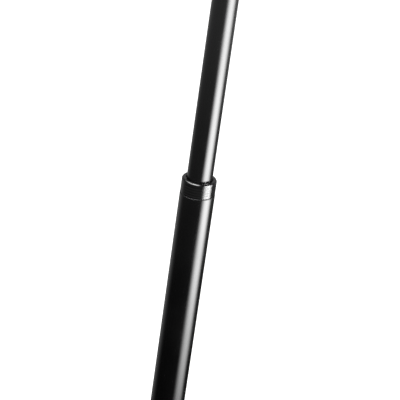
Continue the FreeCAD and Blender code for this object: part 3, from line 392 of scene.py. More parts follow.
def powder_coat(name, level, roughness, grain_depth):
    """Satin black powder coat: a fine even grain, dusty patches, level scuffs, and edges rubbed greyer."""
    material, tree, bsdf = shader(name, grey(level), roughness)
    where = place_coordinates(tree)
    patches = noise_node(tree, where, 9, detail=6)
    grain = noise_node(tree, where, 850, detail=4)
    ripple = noise_node(tree, where, 260, detail=2)
    vary(tree, grain, bsdf.inputs["Roughness"], roughness * 0.85, roughness * 1.25)
    vary_colour(tree, patches, bsdf.inputs["Base Color"], grey(level), grey(level * 1.8), 0.3, 0.75)
    streaks = noise_node(tree, place_coordinates(tree, (0.07, 1, 1)), 620, detail=2)
    scuffs = ramp(tree, streaks, 0.64, 0.74, 0, 0.5)
    scuffed = combined(tree, "MULTIPLY", scuffs, ramp(tree, patches, 0.48, 0.62, 0, 1))
    wear = combined(tree, "MAXIMUM", scuffed, worn(tree, where, EDGE_REACH))
    rub(tree, bsdf, wear, grey(level * 7), roughness * 0.8)
    bump(tree, bsdf, [(ripple, grain_depth), (grain, grain_depth)])
    return material


def rubber(name, level):
    """Moulded rubber: dull, finely pitted, greyer with dust in patches."""
    material, tree, bsdf = shader(name, grey(level), 0.7)
    bsdf.inputs["Specular IOR Level"].default_value = 0.35
    where = place_coordinates(tree)
    dust = noise_node(tree, where, 60, detail=6, roughness=0.7)
    pits = noise_node(tree, where, 1300, detail=3)
    vary(tree, dust, bsdf.inputs["Roughness"], 0.62, 0.85)
    vary_colour(tree, dust, bsdf.inputs["Base Color"], grey(level), grey(level * 2.0), 0.45, 0.8)
    bump(tree, bsdf, [(pits, 0.06 * MM)])
    return material


def metal(name, colour, roughness, stretch=(1, 1, 1)):
    """Bare or plated metal with a fine grain, drawn out along the axis of the smallest factor."""
    material, tree, bsdf = shader(name, colour, roughness, metallic=1.0)
    where = place_coordinates(tree, stretch)
    grain = noise_node(tree, where, 900, detail=3)
    stains = noise_node(tree, where, 90, detail=3)
    darker = tuple(c * 0.85 for c in colour)
    vary(tree, grain, bsdf.inputs["Roughness"], roughness * 0.85, roughness * 1.2)
    vary_colour(tree, stains, bsdf.inputs["Base Color"], darker, colour, 0.25, 0.75)
    bump(tree, bsdf, [(grain, 0.004 * MM)])
    return material


def plastic(name, colour, roughness, speckle=0.85):
    """Moulded or machined plastic or fibre, faintly mottled."""
    material, tree, bsdf = shader(name, colour, roughness)
    where = place_coordinates(tree)
    mottle = noise_node(tree, where, 240, detail=6, roughness=0.7)
    tool_marks = noise_node(tree, place_coordinates(tree, (0.05, 0.05, 1)), 2400, detail=2)
    darker = tuple(c * speckle for c in colour)
    vary(tree, mottle, bsdf.inputs["Roughness"], roughness * 0.85, roughness * 1.2)
    vary_colour(tree, mottle, bsdf.inputs["Base Color"], darker, colour)
    bump(tree, bsdf, [(tool_marks, 0.01 * MM)])
    return material


def felt(name, colour):
    """Pressed felt: fuzzy, matt and mottled."""
    material, tree, bsdf = shader(name, colour, 0.95)
    bsdf.inputs["Sheen Weight"].default_value = 0.5
    where = place_coordinates(tree)
    fibres = noise_node(tree, where, 1800, detail=6, roughness=0.75)
    vary_colour(tree, fibres, bsdf.inputs["Base Color"], tuple(c * 0.6 for c in colour), colour)
    bump(tree, bsdf, [(fibres, 0.15 * MM)])
    return material


MATERIALS = {
    "tube_enamel": enamel("tube_enamel", 0.0006, 0.18, 0.0012 * MM),
    "base_enamel": enamel("base_enamel", 0.0035, 0.14, 0.004 * MM),
    "collar_black": enamel("collar_black", 0.0016, 0.13, 0.0006 * MM),
    "desk_black": powder_coat("desk_black", 0.012, 0.34, 0.035 * MM),
    "bracket_black": powder_coat("bracket_black", 0.012, 0.32, 0.025 * MM),
    "neck_black": powder_coat("neck_black", 0.010, 0.30, 0.030 * MM),
    "rivet_black": enamel("rivet_black", 0.010, 0.28, 0.004 * MM),
    "zinc_steel": metal("zinc_steel", (0.60, 0.61, 0.62), 0.28, (1, 1, 0.06)),
    "spring_steel": metal("spring_steel", (0.20, 0.20, 0.22), 0.34, (1, 1, 0.1)),
    "foot_rubber": rubber("foot_rubber", 0.012),
    "bush_nylon": plastic("bush_nylon", (0.74, 0.72, 0.65), 0.42),
    "plug_black": plastic("plug_black", (0.022, 0.022, 0.024), 0.5),
    "liner_fibre": plastic("liner_fibre", (0.17, 0.10, 0.055), 0.75, speckle=0.5),
    "wiper_felt": felt("wiper_felt", (0.03, 0.03, 0.032)),
}
SLOT_OF = {s["node"]: s["material_slot"] for s in frame["record"]["subparts"]}


def finish_frame():
    """Gives every CAD node the material of its own slot, in place of its plain one."""
    for node, thing in frame["nodes"].items():
        for slot in thing.material_slots:
            slot.material = MATERIALS[SLOT_OF[node]]


# -------------------- shaft

END_ROUND = 0.2 * MM  # rounding of a tube's cut end
MOUTH_ROUND = 0.17 * MM  # and of the lower tube's end, under the collar
TUBE_IN_HUB = 2 * MM  # how far the lower tube's shell goes into the hub
UPPER_WALL = 1.2 * MM


def tube_outline(outer, inner, low, high, top_round=END_ROUND):
    """A tube's wall, with its ends' outer edges rounded."""
    top = arc((outer - top_round, high - top_round), top_round, 0, 90, 5)
    bottom = arc((outer - END_ROUND, low + END_ROUND), END_ROUND, -90, 0, 5)
    return [(inner, low), *bottom, *top, (inner, high)]


def make_lower_tube():
    """The outer tube, from inside the hub to the seam under the collar."""
    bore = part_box("tube_plug")[1].x
    outline = tube_outline(radius_of("lower_tube"), bore, HUB_HIGH.z - TUBE_IN_HUB, SEAM_Z, MOUTH_ROUND)
    mesh = mesh_from("lower_tube_shell", lathe(outline))
    new_piece(mesh, "base", "tube_enamel", ["lower_tube"])


def make_upper_tube():
    """The inner tube, with its cut ends rounded."""
    outer = radius_of("upper_tube")
    outline = tube_outline(outer, outer - UPPER_WALL, UPPER_LOW.z, UPPER_HIGH.z)
    mesh = mesh_from("upper_tube_shell", lathe(outline))
    new_piece(mesh, "upper_shaft", "tube_enamel", ["upper_tube"])


RIM_ROLLS = ((0.6 * MM, 25), (2.6 * MM, 48), (0.6 * MM, 90))  # radius and last angle of each
RIM_PROUD = 0.45 * MM  # how far the rim stands above the solid's
BRIM_ROUND = 0.35 * MM
RINGS = 4
RING_PITCH = 2.0 * MM
RING_DEPTH = 0.036 * MM
RING_HALF = 0.9 * MM
FIRST_RING = 2.4 * MM
SEAM_ROUND = 0.2 * MM
SEAM_GAP = 0.42 * MM
SEAM_DEPTH = 0.8 * MM
COLLAR_MOUTH = 9.9 * MM
SEAT_HIGH, SEAT_DEPTH = 8.8 * MM, 0.9 * MM  # the wider seat in the bore, up from the seam


def rolled(outer, top, rolls):
    """An edge rolled over from upright at a radius to level at a height, in arcs that run into each other."""
    points = []
    centre, radius, angle = (outer, 0), 0, 0
    for next_radius, last in rolls:
        turn = math.radians(angle)
        step = radius - next_radius
        centre = (centre[0] + step * math.cos(turn), centre[1] + step * math.sin(turn))
        points = points[:-1] + arc(centre, next_radius, angle, last, 7)
        radius, angle = next_radius, last
    lift = top - points[-1][1]
    return [(r, z + lift) for r, z in points]


def make_collar():
    """The collar: a seam at the tube's end, faint grip rings, and a rim rolled over outside and in."""
    outer = radius_of("collar")
    top = RIM_Z + RIM_PROUD
    bore = COLLAR_MOUTH
    foot = SEAM_Z + SEAM_GAP
    wall = [(outer - SEAM_DEPTH, SEAM_Z), (outer - SEAM_DEPTH, foot)]
    wall += arc((outer - SEAM_ROUND, foot + SEAM_ROUND), SEAM_ROUND, -90, 0, 4)
    for ring in range(RINGS):
        middle = SEAM_Z + FIRST_RING + ring * RING_PITCH
        for share in (-1, -0.75, -0.5, -0.25, 0, 0.25, 0.5, 0.75, 1):
            depth = RING_DEPTH * 0.5 * (1 + math.cos(math.pi * share))
            wall.append((outer - depth, middle + share * RING_HALF))
    crest = rolled(outer, top, RIM_ROLLS)
    brim = arc((bore + BRIM_ROUND, top - BRIM_ROUND), BRIM_ROUND, 90, 180, 8)
    seat, seat_top = bore + SEAT_DEPTH, SEAM_Z + SEAT_HIGH
    inside = [(bore, seat_top), (seat, seat_top), (seat, SEAM_Z)]
    mesh = mesh_from("collar_ring", lathe(wall + crest + brim + inside), sharp=50)
    new_piece(mesh, "base", "collar_black", ["collar"])


SEAM_INSET = 0.3 * MM
SEAM_OVERLAP = 0.1 * MM
SEAM_RING_WIDE = 0.6 * MM


def make_seam_ring():
    """The dull rubber ring that fills the seam between the tube's end and the collar."""
    outer = radius_of("collar") - SEAM_INSET
    low, high = SEAM_Z - SEAM_OVERLAP, SEAM_Z + SEAM_GAP + SEAM_OVERLAP
    inner = outer - SEAM_RING_WIDE
    outline = [(inner, low), (outer, low), (outer, high), (inner, high)]
    mesh = mesh_from("collar_seam_ring", lathe(outline))
    new_piece(mesh, "base", "foot_rubber")


# -------------------- base

LEG_ANGLES = {"rear": 90, "left": 210, "right": 330}


def make_hub():
    """The hub: a rounded socket with a neck that hugs the tube."""
    outer = radius_of("hub")
    neck = 16.5 * MM
    bore = radius_of("lower_tube") + 0.05 * MM
    low, top = HUB_LOW.z, HUB_HIGH.z
    shoulder = 90 * MM
    corner = 1.5 * MM
    outline = [(5.3 * MM, low)]
    outline += arc((outer - corner, low + corner), corner, -90, 0, 6)
    outline += arc((outer - corner, shoulder - corner), corner, 0, 60, 6)
    outline += arc((neck + 2.6 * MM, shoulder + 3.6 * MM), 2.6 * MM, 240, 180, 6)
    outline += arc((neck - corner, top - corner), corner, 0, 90, 6)
    outline += [(bore, top), (bore, low + 6 * MM), (5.3 * MM, low + 6 * MM)]
    mesh = mesh_from("hub_socket", lathe(outline), sharp=50)
    new_piece(mesh, "base", "base_enamel", ["hub"])


LEG_TIP = 262 * MM
LEG_ROOT_HIGH, LEG_TIP_HIGH = 87 * MM, 22 * MM
LEG_ROOT_LOW, LEG_TIP_LOW = 50 * MM, 8 * MM
LEG_ARCH = 760 * MM
LEG_ROOT_HALF, LEG_TIP_HALF = 17 * MM, 11 * MM
LEG_WALL = 2 * MM
LEG_EDGE = 6 * MM
HEM_ROUND = 0.7 * MM
LEG_STATIONS = 28


def arched(root, tip, reach):
    """Height of a leg's arch at a distance from the shaft, between its heights at the root and the tip."""
    middle = Vector((LEG_TIP / 2, (root + tip) / 2))
    chord = Vector((LEG_TIP, tip - root))
    drop = math.sqrt(LEG_ARCH ** 2 - chord.length_squared / 4)
    down = Vector((chord.y, -chord.x)).normalized()
    centre = middle + down * drop
    return centre.y + math.sqrt(LEG_ARCH ** 2 - (reach - centre.x) ** 2)


def leg_half(reach):
    return LEG_ROOT_HALF + (LEG_TIP_HALF - LEG_ROOT_HALF) * reach / LEG_TIP


def leg_outside(half, low, high):
    """Half of a leg's outer section, from the hem up to the middle of its top."""
    corner = arc((half - LEG_EDGE, high - LEG_EDGE), LEG_EDGE, 0, 90, 8)
    side = [(half, low + HEM_ROUND + HOLD), (half, high - LEG_EDGE - HOLD)]
    return [*side, *corner, (half - LEG_EDGE - HOLD, high)]


def leg_section(half, low, high):
    """The whole closed section of the pressed channel, hems rounded."""
    inner = LEG_EDGE - LEG_WALL
    side = [(half - LEG_WALL, low + HEM_ROUND + HOLD)]
    side += arc((half - LEG_WALL + HEM_ROUND, low + HEM_ROUND), HEM_ROUND, 180, 270, 3)
    side += arc((half - HEM_ROUND, low + HEM_ROUND), HEM_ROUND, 270, 360, 3)
    side += leg_outside(half, low, high)
    under = [(half - LEG_EDGE - HOLD, high - LEG_WALL)]
    under += reversed(arc((half - LEG_EDGE, high - LEG_EDGE), inner, 0, 90, 6))
    mirrored = [(-y, z) for y, z in reversed(side)]
    mirrored_under = [(-y, z) for y, z in reversed(under)]
    return side + mirrored + mirrored_under + under


def round_shaft(angle):
    """Takes a leg's own frame, reaching along +X from the shaft, to its place round the shaft."""
    return Matrix.Translation(SHAFT) @ Matrix.Rotation(math.radians(angle), 4, "Z")


def make_leg(side, angle):
    """A pressed leg: an arched, tapered channel, coped to the hub and welded to it."""
    hub = radius_of("hub")
    turn = round_shaft(angle)
    loops = []
    for station in range(LEG_STATIONS + 1):
        share = station / LEG_STATIONS
        nominal = hub + (LEG_TIP - hub) * share
        half = leg_half(nominal)
        low, high = arched(LEG_ROOT_LOW, LEG_TIP_LOW, nominal), arched(LEG_ROOT_HIGH, LEG_TIP_HIGH, nominal)
        loop = []
        for y, z in leg_section(half, low, high):
            root = math.sqrt(max(hub ** 2 - y ** 2, 0)) - 0.4 * MM
            reach = root + (LEG_TIP - root) * share
            fall = arched(LEG_ROOT_HIGH, LEG_TIP_HIGH, reach) - high
            loop.append(turn @ Vector((reach, y, z + fall)))
        loops.append(loop)
    mesh = mesh_from(f"leg_{side}_channel", loft(loops), sharp=40)
    new_piece(mesh, "base", "base_enamel", [f"leg_{side}"])
    make_leg_weld(side, turn, hub)


WELD_RADIUS = 1.7 * MM


def make_leg_weld(side, turn, hub):
    """The bead that runs up one side of a leg's root, over its top and down the other."""
    half = leg_half(hub)
    low, high = arched(LEG_ROOT_LOW, LEG_TIP_LOW, hub), arched(LEG_ROOT_HIGH, LEG_TIP_HIGH, hub)
    right = [(half, low + 2 * MM), *leg_outside(half, low, high)[1:]]
    outline = right + [(-y, z) for y, z in reversed(right)]
    corners = [Vector((0, y, z)) for y, z in outline]
    path, normals = [], []
    for point in along_line(corners, 0.5 * MM):
        reach = math.sqrt(max(hub ** 2 - point.y ** 2, 0))
        lift = arched(LEG_ROOT_HIGH, LEG_TIP_HIGH, reach) - high if abs(point.y) < half - LEG_EDGE else 0
        outward = Vector((reach, point.y, 0)).normalized()
        away = Vector((0, math.copysign(1, point.y), 0)) if point.z < high - LEG_EDGE else Vector((0, 0, 1))
        path.append(turn @ Vector((reach, point.y, point.z + lift)))
        normals.append((turn.to_3x3() @ (outward + away)).normalized())
    mesh = mesh_from(f"leg_{side}_weld", bead(path, normals, WELD_RADIUS), sharp=60)
    new_piece(mesh, "base", "base_enamel")


FOOT_HEEL = LEG_TIP - 26 * MM
FOOT_NOSE = LEG_TIP + 8 * MM
FOOT_HALF = 14.5 * MM
FOOT_CROWN = LEG_TIP_HIGH + 3.5 * MM
FOOT_SLOPE = 9.6 * MM / (26 * MM)
FOOT_ROUND = 2.6 * MM
FOOT_CORNER = 3.4 * MM
NOSE_BEVEL = 3.5 * MM
FOOT_RIBS = (243 * MM, 247.5 * MM, 252 * MM, 256.5 * MM)
RIB_DEPTH = 0.7 * MM
RIB_HALF = 1.0 * MM


def foot_section(reach, inset):
    """A rubber foot's closed section: a rounded box, flat on the floor."""
    brow = max(0.0, reach - LEG_TIP)
    slope = max(0.0, LEG_TIP - reach) * FOOT_SLOPE
    high = FOOT_CROWN - brow + slope - inset
    low = max(0.0, reach - (FOOT_NOSE - NOSE_BEVEL))
    half = FOOT_HALF - inset
    corner = FOOT_CORNER
    sole = 0.9 * MM
    loop = arc((half - sole, low + sole), sole, -90, 0, 4)
    loop += [(half, low + sole + HOLD), (half, high - corner - HOLD)]
    loop += arc((half - corner, high - corner), corner, 0, 90, 7)
    loop.append((half - corner - HOLD, high))
    return loop + [(-y, z) for y, z in reversed(loop)]


def make_foot(side, angle):
    """A rubber boot on a leg's tip, ribbed, with a rounded heel and nose."""
    turn = round_shaft(angle)
    stations = []
    quarter = [math.radians(15 * step) for step in range(7)]
    for a in quarter:
        stations.append((FOOT_HEEL + FOOT_ROUND * (1 - math.cos(a)), FOOT_ROUND * (1 - math.sin(a))))
    for rib in FOOT_RIBS:
        for share in (-1, -0.8, -0.45, 0, 0.45, 0.8, 1):
            dip = RIB_DEPTH * 0.5 * (1 + math.cos(math.pi * share))
            stations.append((rib + share * RIB_HALF, dip))
    stations.append((LEG_TIP - 1.2 * MM, 0.0))
    stations += [(LEG_TIP + step * MM, 0.12 * MM * step) for step in (0, 1, 2.5)]
    for a in quarter:
        reach = FOOT_NOSE - FOOT_ROUND * (1 - math.sin(a))
        stations.append((reach, 0.4 * MM + FOOT_ROUND * (1 - math.cos(a))))
    loops = []
    for reach, inset in stations:
        loops.append([turn @ Vector((reach, y, z)) for y, z in foot_section(reach, inset)])
    mesh = mesh_from(f"foot_{side}_boot", loft(loops), sharp=50)
    new_piece(mesh, "base", "foot_rubber", [f"foot_{side}"])


# -------------------- desk, in its own upright frame at the pivot

DESK_HALF = 254 * MM
DESK_TOP = 168 * MM
DESK_FRONT = -33.6 * MM
SHEET = 1.6 * MM
CORNER = 18 * MM
FOLD = 3.0 * MM
FLANGE = 10 * MM
FLANGE_STOP = -138 * MM
LEDGE_TOP = -148.4 * MM
LEDGE_BEND = 2.0 * MM
LIP_INSIDE = -92.0 * MM
LIP_TOP = -143.0 * MM
LIP_CORNER = 3.0 * MM
FLAT_HOLD = 1.0 * MM


def desk_rim():
    """The outline of the desk's sides and top, each point with its outward direction."""
    hold = 3 * MM
    side = [(FLANGE_STOP, 0), (FLANGE_STOP + hold, 0), (DESK_TOP - CORNER - hold, 0)]
    rim = [((DESK_HALF, z), (1, 0)) for z, _ in side]
    for x, z in arc((0, 0), 1, 0, 90, 14):
        rim.append(((DESK_HALF - CORNER + CORNER * x, DESK_TOP - CORNER + CORNER * z), (x, z)))
    rim.append(((DESK_HALF - CORNER - hold, DESK_TOP), (0, 1)))
    return rim + [((-x, z), (-nx, nz)) for (x, z), (nx, nz) in reversed(rim)]


def desk_rows():
    """How the sheet goes round the fold: (distance in from the outline, y)."""
    rows = [(FOLD + FLAT_HOLD, DESK_FRONT)]
    for back, inward in arc((0, 0), FOLD, 0, 90, 7):
        rows.append((FOLD - inward, DESK_FRONT + FOLD - back))
    rows.append((0, DESK_FRONT + FOLD + HOLD))
    rows.append((0, DESK_FRONT + FLANGE - HOLD))
    rows.append((0, DESK_FRONT + FLANGE))
    return rows


def ledge_rows():
    """The sheet's upper side from the desk's face, round to the ledge and up its lip, as (y, z)."""
    rows = [(DESK_FRONT, FLANGE_STOP), (DESK_FRONT, FLANGE_STOP - FLAT_HOLD)]
    level = LEDGE_TOP + LEDGE_BEND
    rows.append((DESK_FRONT, level + FLAT_HOLD))
    rows += arc((DESK_FRONT - LEDGE_BEND, level), LEDGE_BEND, 0, -90, 6)
    rows.append((DESK_FRONT - LEDGE_BEND - FLAT_HOLD, LEDGE_TOP))
    rows.append((LIP_INSIDE + LEDGE_BEND + FLAT_HOLD, LEDGE_TOP))
    rows += arc((LIP_INSIDE + LEDGE_BEND, level), LEDGE_BEND, -90, -180, 6)
    rows.append((LIP_INSIDE, LIP_TOP))
    return rows


def bent_sheet(name, bm, thickness, slot, node, score):
    """A piece of bent sheet, made from one surface. Its face of the highest score looks to the player."""
    bmesh.ops.remove_doubles(bm, verts=bm.verts, dist=1e-6)
    bmesh.ops.recalc_face_normals(bm, faces=bm.faces)
    bm.normal_update()
    if max(bm.faces, key=score).normal.y > 0:
        bmesh.ops.reverse_faces(bm, faces=bm.faces)
    bm.transform(DESK_FRAME)
    mesh = bpy.data.meshes.new(name)
    bm.to_mesh(mesh)
    bm.free()
    piece = new_piece(mesh, "desk", slot, [node])
    thick = piece.modifiers.new("thickness", "SOLIDIFY")
    thick.thickness = thickness
    thick.offset = -1
    thick.use_even_offset = True
    return piece


def make_desk():
    """The desk: one folded sheet, made as its front surface and then thickened backwards."""
    bm = bmesh.new()
    rim, rows = desk_rim(), desk_rows()
    grid = []
    for (x, z), (nx, nz) in rim:
        grid.append([bm.verts.new((x - nx * inward, y, z - nz * inward)) for inward, y in rows])
    for here, following in zip(grid, grid[1:]):
        for i in range(len(rows) - 1):
            bm.faces.new((here[i], here[i + 1], following[i + 1], following[i]))
    bm.faces.new([column[0] for column in grid])

    insets = [0, 0.2, 0.5, 1.1, 2.0, LIP_CORNER / MM, (FOLD + FLAT_HOLD) / MM]
    columns = [-DESK_HALF + d * MM for d in insets] + [DESK_HALF - d * MM for d in reversed(insets)]
    profile = ledge_rows()
    strips = []
    for x in columns:
        inward = DESK_HALF - abs(x)
        cut = max(0.0, LIP_CORNER - inward)
        drop = LIP_CORNER - math.sqrt(LIP_CORNER ** 2 - cut ** 2)
        strips.append([bm.verts.new((x, y, z)) for y, z in profile[:-1]])
        y, z = profile[-1]
        strips[-1].append(bm.verts.new((x, y, z - drop)))
    for here, following in zip(strips, strips[1:]):
        for i in range(len(profile) - 1):
            bm.faces.new((here[i], following[i], following[i + 1], here[i + 1]))
    desk = bent_sheet("desk_sheet", bm, SHEET, "desk_black", "desk", score=lambda face: face.calc_area())
    edge_bevel(desk, 0.35 * MM, angle=60)
    settle(desk)


RIVET_HEAD, RIVET_DOME, RIVET_SHANK, RIVET_TAIL, RIVET_SET = (v * MM for v in (4.6, 1.9, 2.5, 3.6, 1.2))
GRIP = 3.6 * MM  # what a rivet clamps: the desk's sheet and the spreader plate
RIVET_ASIDE, RIVET_ABOVE = 50 * MM, 46 * MM  # from the pivot, across and up the desk


def dome(radius, rise):
    """The outline of a round cap, from its crown to its edge."""
    ball = (radius ** 2 + rise ** 2) / (2 * rise)
    spread = math.degrees(math.asin(radius / ball))
    return arc((0, rise - ball), ball, 90, 90 - spread, 9)


def make_rivets():
    """The four domed rivets that hold the spreader plate, and their set tails."""
    outline = dome(RIVET_HEAD, RIVET_DOME) + [(RIVET_SHANK, 0), (RIVET_SHANK, -GRIP)]
    outline += [(radius, -GRIP - rise) for radius, rise in reversed(dome(RIVET_TAIL, RIVET_SET))]
    lay_down = Matrix.Rotation(math.radians(90), 4, "X")
    for number, (x, z) in enumerate(((-1, -1), (-1, 1), (1, -1), (1, 1)), start=1):
        place = DESK_FRAME @ Matrix.Translation((x * RIVET_ASIDE, DESK_FRONT, z * RIVET_ABOVE)) @ lay_down
        bm = lathe(outline, Vector((0, 0, 0)), facets=56)
        bm.transform(place)
        mesh = mesh_from(f"desk_rivet_{number}", bm)
        replaced = ["desk_rivets"] if number == 1 else []
        new_piece(mesh, "desk", "rivet_black", replaced)


PLATE_BACK = -30 * MM
PLATE_HALF_X, PLATE_HALF_Z = 62 * MM, 58 * MM
PLATE_THICK = 2 * MM
PLATE_CORNER = 12 * MM
PLATE_SOFT = 0.6 * MM


def make_spreader_plate():
    """The plate behind the desk: a pressed blank with rounded corners and softened edges."""
    rows = [(PLATE_SOFT + FLAT_HOLD, PLATE_BACK)]
    rows += [(PLATE_SOFT - a, PLATE_BACK - PLATE_SOFT + b) for b, a in arc((0, 0), PLATE_SOFT, 0, 90, 4)]
    rows += [(0, PLATE_BACK - PLATE_SOFT - HOLD), (0, PLATE_BACK - PLATE_THICK)]
    loops = []
    for inward, y in rows:
        loop = []
        for quarter in range(4):
            right, up = ((1, 1), (-1, 1), (-1, -1), (1, -1))[quarter]
            corner = (right * (PLATE_HALF_X - PLATE_CORNER), up * (PLATE_HALF_Z - PLATE_CORNER))
            for x, z in arc(corner, PLATE_CORNER - inward, quarter * 90, quarter * 90 + 90, 10):
                loop.append(Vector((x, y, z)))
        loops.append(loop)
    bm = loft(loops)
    bm.transform(DESK_FRAME)
    mesh = mesh_from("spreader_plate_pressed", bm)
    new_piece(mesh, "desk", "bracket_black", ["spreader_plate"])


EAR_OUTSIDE = 10.05 * MM
EAR_SHEET = 2.5 * MM
EAR_BEND = 4.5 * MM
EAR_ROUND = 12 * MM
EAR_TAPER = 75.52  # degrees round an ear's end at which its straight taper starts
CLEVIS_HALF = 36 * MM
WEB_ROWS = (-1, -0.96, -0.7, -0.35, 0, 0.35, 0.7, 0.96, 1)


def make_clevis():
    """The tilt clevis: one strip bent to a channel, its ears tapering to a round at the pivot."""
    straight = PLATE_BACK + EAR_BEND
    turns = (0, 8, 18, 28, 40, 52, 64, EAR_TAPER)
    ear = [(EAR_OUTSIDE, EAR_ROUND * math.cos(math.radians(turn))) for turn in turns]
    ear += [(EAR_OUTSIDE, y * MM) for y in (-4, -11, -18)]
    bend = arc((EAR_OUTSIDE - EAR_BEND, straight), EAR_BEND, 0, -90, 8)
    half = ear + bend
    path = half + [(-x, y) for x, y in reversed(half)]
    taper_start = EAR_ROUND * math.cos(math.radians(EAR_TAPER))
    taper_height = EAR_ROUND * math.sin(math.radians(EAR_TAPER))
    bm = bmesh.new()
    columns = []
    for x, y in path:
        if y >= taper_start:
            reach = math.sqrt(max(EAR_ROUND ** 2 - y ** 2, 0))
        elif y > straight:
            share = (taper_start - y) / (taper_start - straight)
            reach = taper_height + (CLEVIS_HALF - taper_height) * share
        else:
            reach = CLEVIS_HALF
        columns.append([bm.verts.new((x, y, reach * row)) for row in WEB_ROWS])
    for here, following in zip(columns, columns[1:]):
        for i in range(len(WEB_ROWS) - 1):
            bm.faces.new((here[i], here[i + 1], following[i + 1], following[i]))
    clevis = bent_sheet("clevis_channel", bm, EAR_SHEET, "bracket_black", "tilt_clevis",
                        score=lambda face: -face.calc_center_median().y)
    edge_bevel(clevis, 0.4 * MM, angle=50)
    settle(clevis)


def make_bracket_welds():
    """Beads down both sides of the clevis, where its web meets the spreader plate."""
    for name, sense in (("left", -1), ("right", 1)):
        aside, length = sense * (EAR_OUTSIDE - 0.7 * MM), 0.9 * CLEVIS_HALF
        line = [Vector((aside, PLATE_BACK, z)) for z in (-length, length)]
        path = along_line(line, 0.5 * MM)
        normals = [Vector((sense, 0.8, 0)).normalized() for _ in path]
        bm = bead(path, normals, 2.2 * MM)
        bm.transform(DESK_FRAME)
        mesh = mesh_from(f"bracket_weld_{name}", bm, sharp=60)
        new_piece(mesh, "desk", "bracket_black")


PIN_PROUD = 0.35 * MM


def make_neck_pin():
    """The cross pin that holds the neck, its ends set into low domes on the tube."""
    low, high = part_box("neck_pin")
    radius = (high.z - low.z) / 2
    end = radius_of("upper_tube") + PIN_PROUD
    rise = 0.7 * MM
    half = [(r, end - rise + z) for r, z in dome(radius, rise)]
    bm = lathe(half + [(r, -z) for r, z in reversed(half)], Vector((0, 0, 0)), facets=32)
    bm.transform(Matrix.Translation((low + high) / 2) @ Matrix.Rotation(math.radians(90), 4, "Y"))
    mesh = mesh_from("neck_pin_set", bm)
    new_piece(mesh, "upper_shaft", "spring_steel", ["neck_pin"])


PIVOT_BORE = 4.12 * MM  # radius of the tongue's bore, clear of the bolt's facets


def open_bore(mesh):
    """Draws the wall of the tongue's bore back from the bolt, which the softening had brought it onto."""
    for vertex in mesh.vertices:
        across = Vector((0, vertex.co.y - PIVOT.y, vertex.co.z - PIVOT.z))
        if across.length < PIVOT_BORE:
            vertex.co += across.normalized() * (PIVOT_BORE - across.length)


def make_neck():
    """The neck as it is cast: its edges and hollows softened."""
    mesh = frame["nodes"]["neck"].data.copy()
    mesh.name = "neck_casting"
    mesh.materials.clear()
    neck = new_piece(mesh, "upper_shaft", "neck_black", ["neck"])
    remesh = neck.modifiers.new("remesh", "REMESH")
    remesh.mode = "VOXEL"
    remesh.voxel_size = 0.55 * MM
    smooth = neck.modifiers.new("smooth", "SMOOTH")
    smooth.factor = 0.5
    smooth.iterations = 6
    open_bore(settle(neck, sharp=60).data)


BEVELLED = {
    "pivot_bolt": 0.3, "pivot_nut": 0.3, "pivot_washers": 0.25,
    "base_bolt": 0.35, "base_washer": 0.3, "lock_washer": 0.3, "friction_discs": 0.2, "retaining_clip": 0.15,
}


def soften_frame():
    """Rounds the sharp edges of the CAD nodes that show, with modifiers only."""
    for node, width in BEVELLED.items():
        thing = frame["nodes"][node]
        weld = thing.modifiers.new("weld", "WELD")
        weld.merge_threshold = 0.002 * MM
        edge_bevel(thing, width * MM)
        thing.modifiers[-1].harden_normals = True


# -------------------- stage, camera and lights


def camera_sees(tree, seen, otherwise, output):
    """Shows one shader to the camera, and another to reflections and as light."""
    path = tree.nodes.new("ShaderNodeLightPath")
    choose = tree.nodes.new("ShaderNodeMixShader")
    tree.links.new(path.outputs["Is Camera Ray"], choose.inputs["Fac"])
    tree.links.new(otherwise, choose.inputs[1])
    tree.links.new(seen, choose.inputs[2])
    tree.links.new(choose.outputs["Shader"], tree.nodes[output].inputs["Surface"])


def distance_from(tree, where, point):
    node = tree.nodes.new("ShaderNodeVectorMath")
    node.operation = "DISTANCE"
    node.inputs[1].default_value = point
    tree.links.new(where, node.inputs[0])
    return node.outputs["Value"]


POOL_PLACE = Vector((-0.95, 0.95, 0))
POOL_RADIUS = 1.05
POOL_GLOW = 0.34
FLOOR_SIZE = 60.0
FLOOR_GLOW, FLOOR_GLOW_FAR = 0.62, 1.03


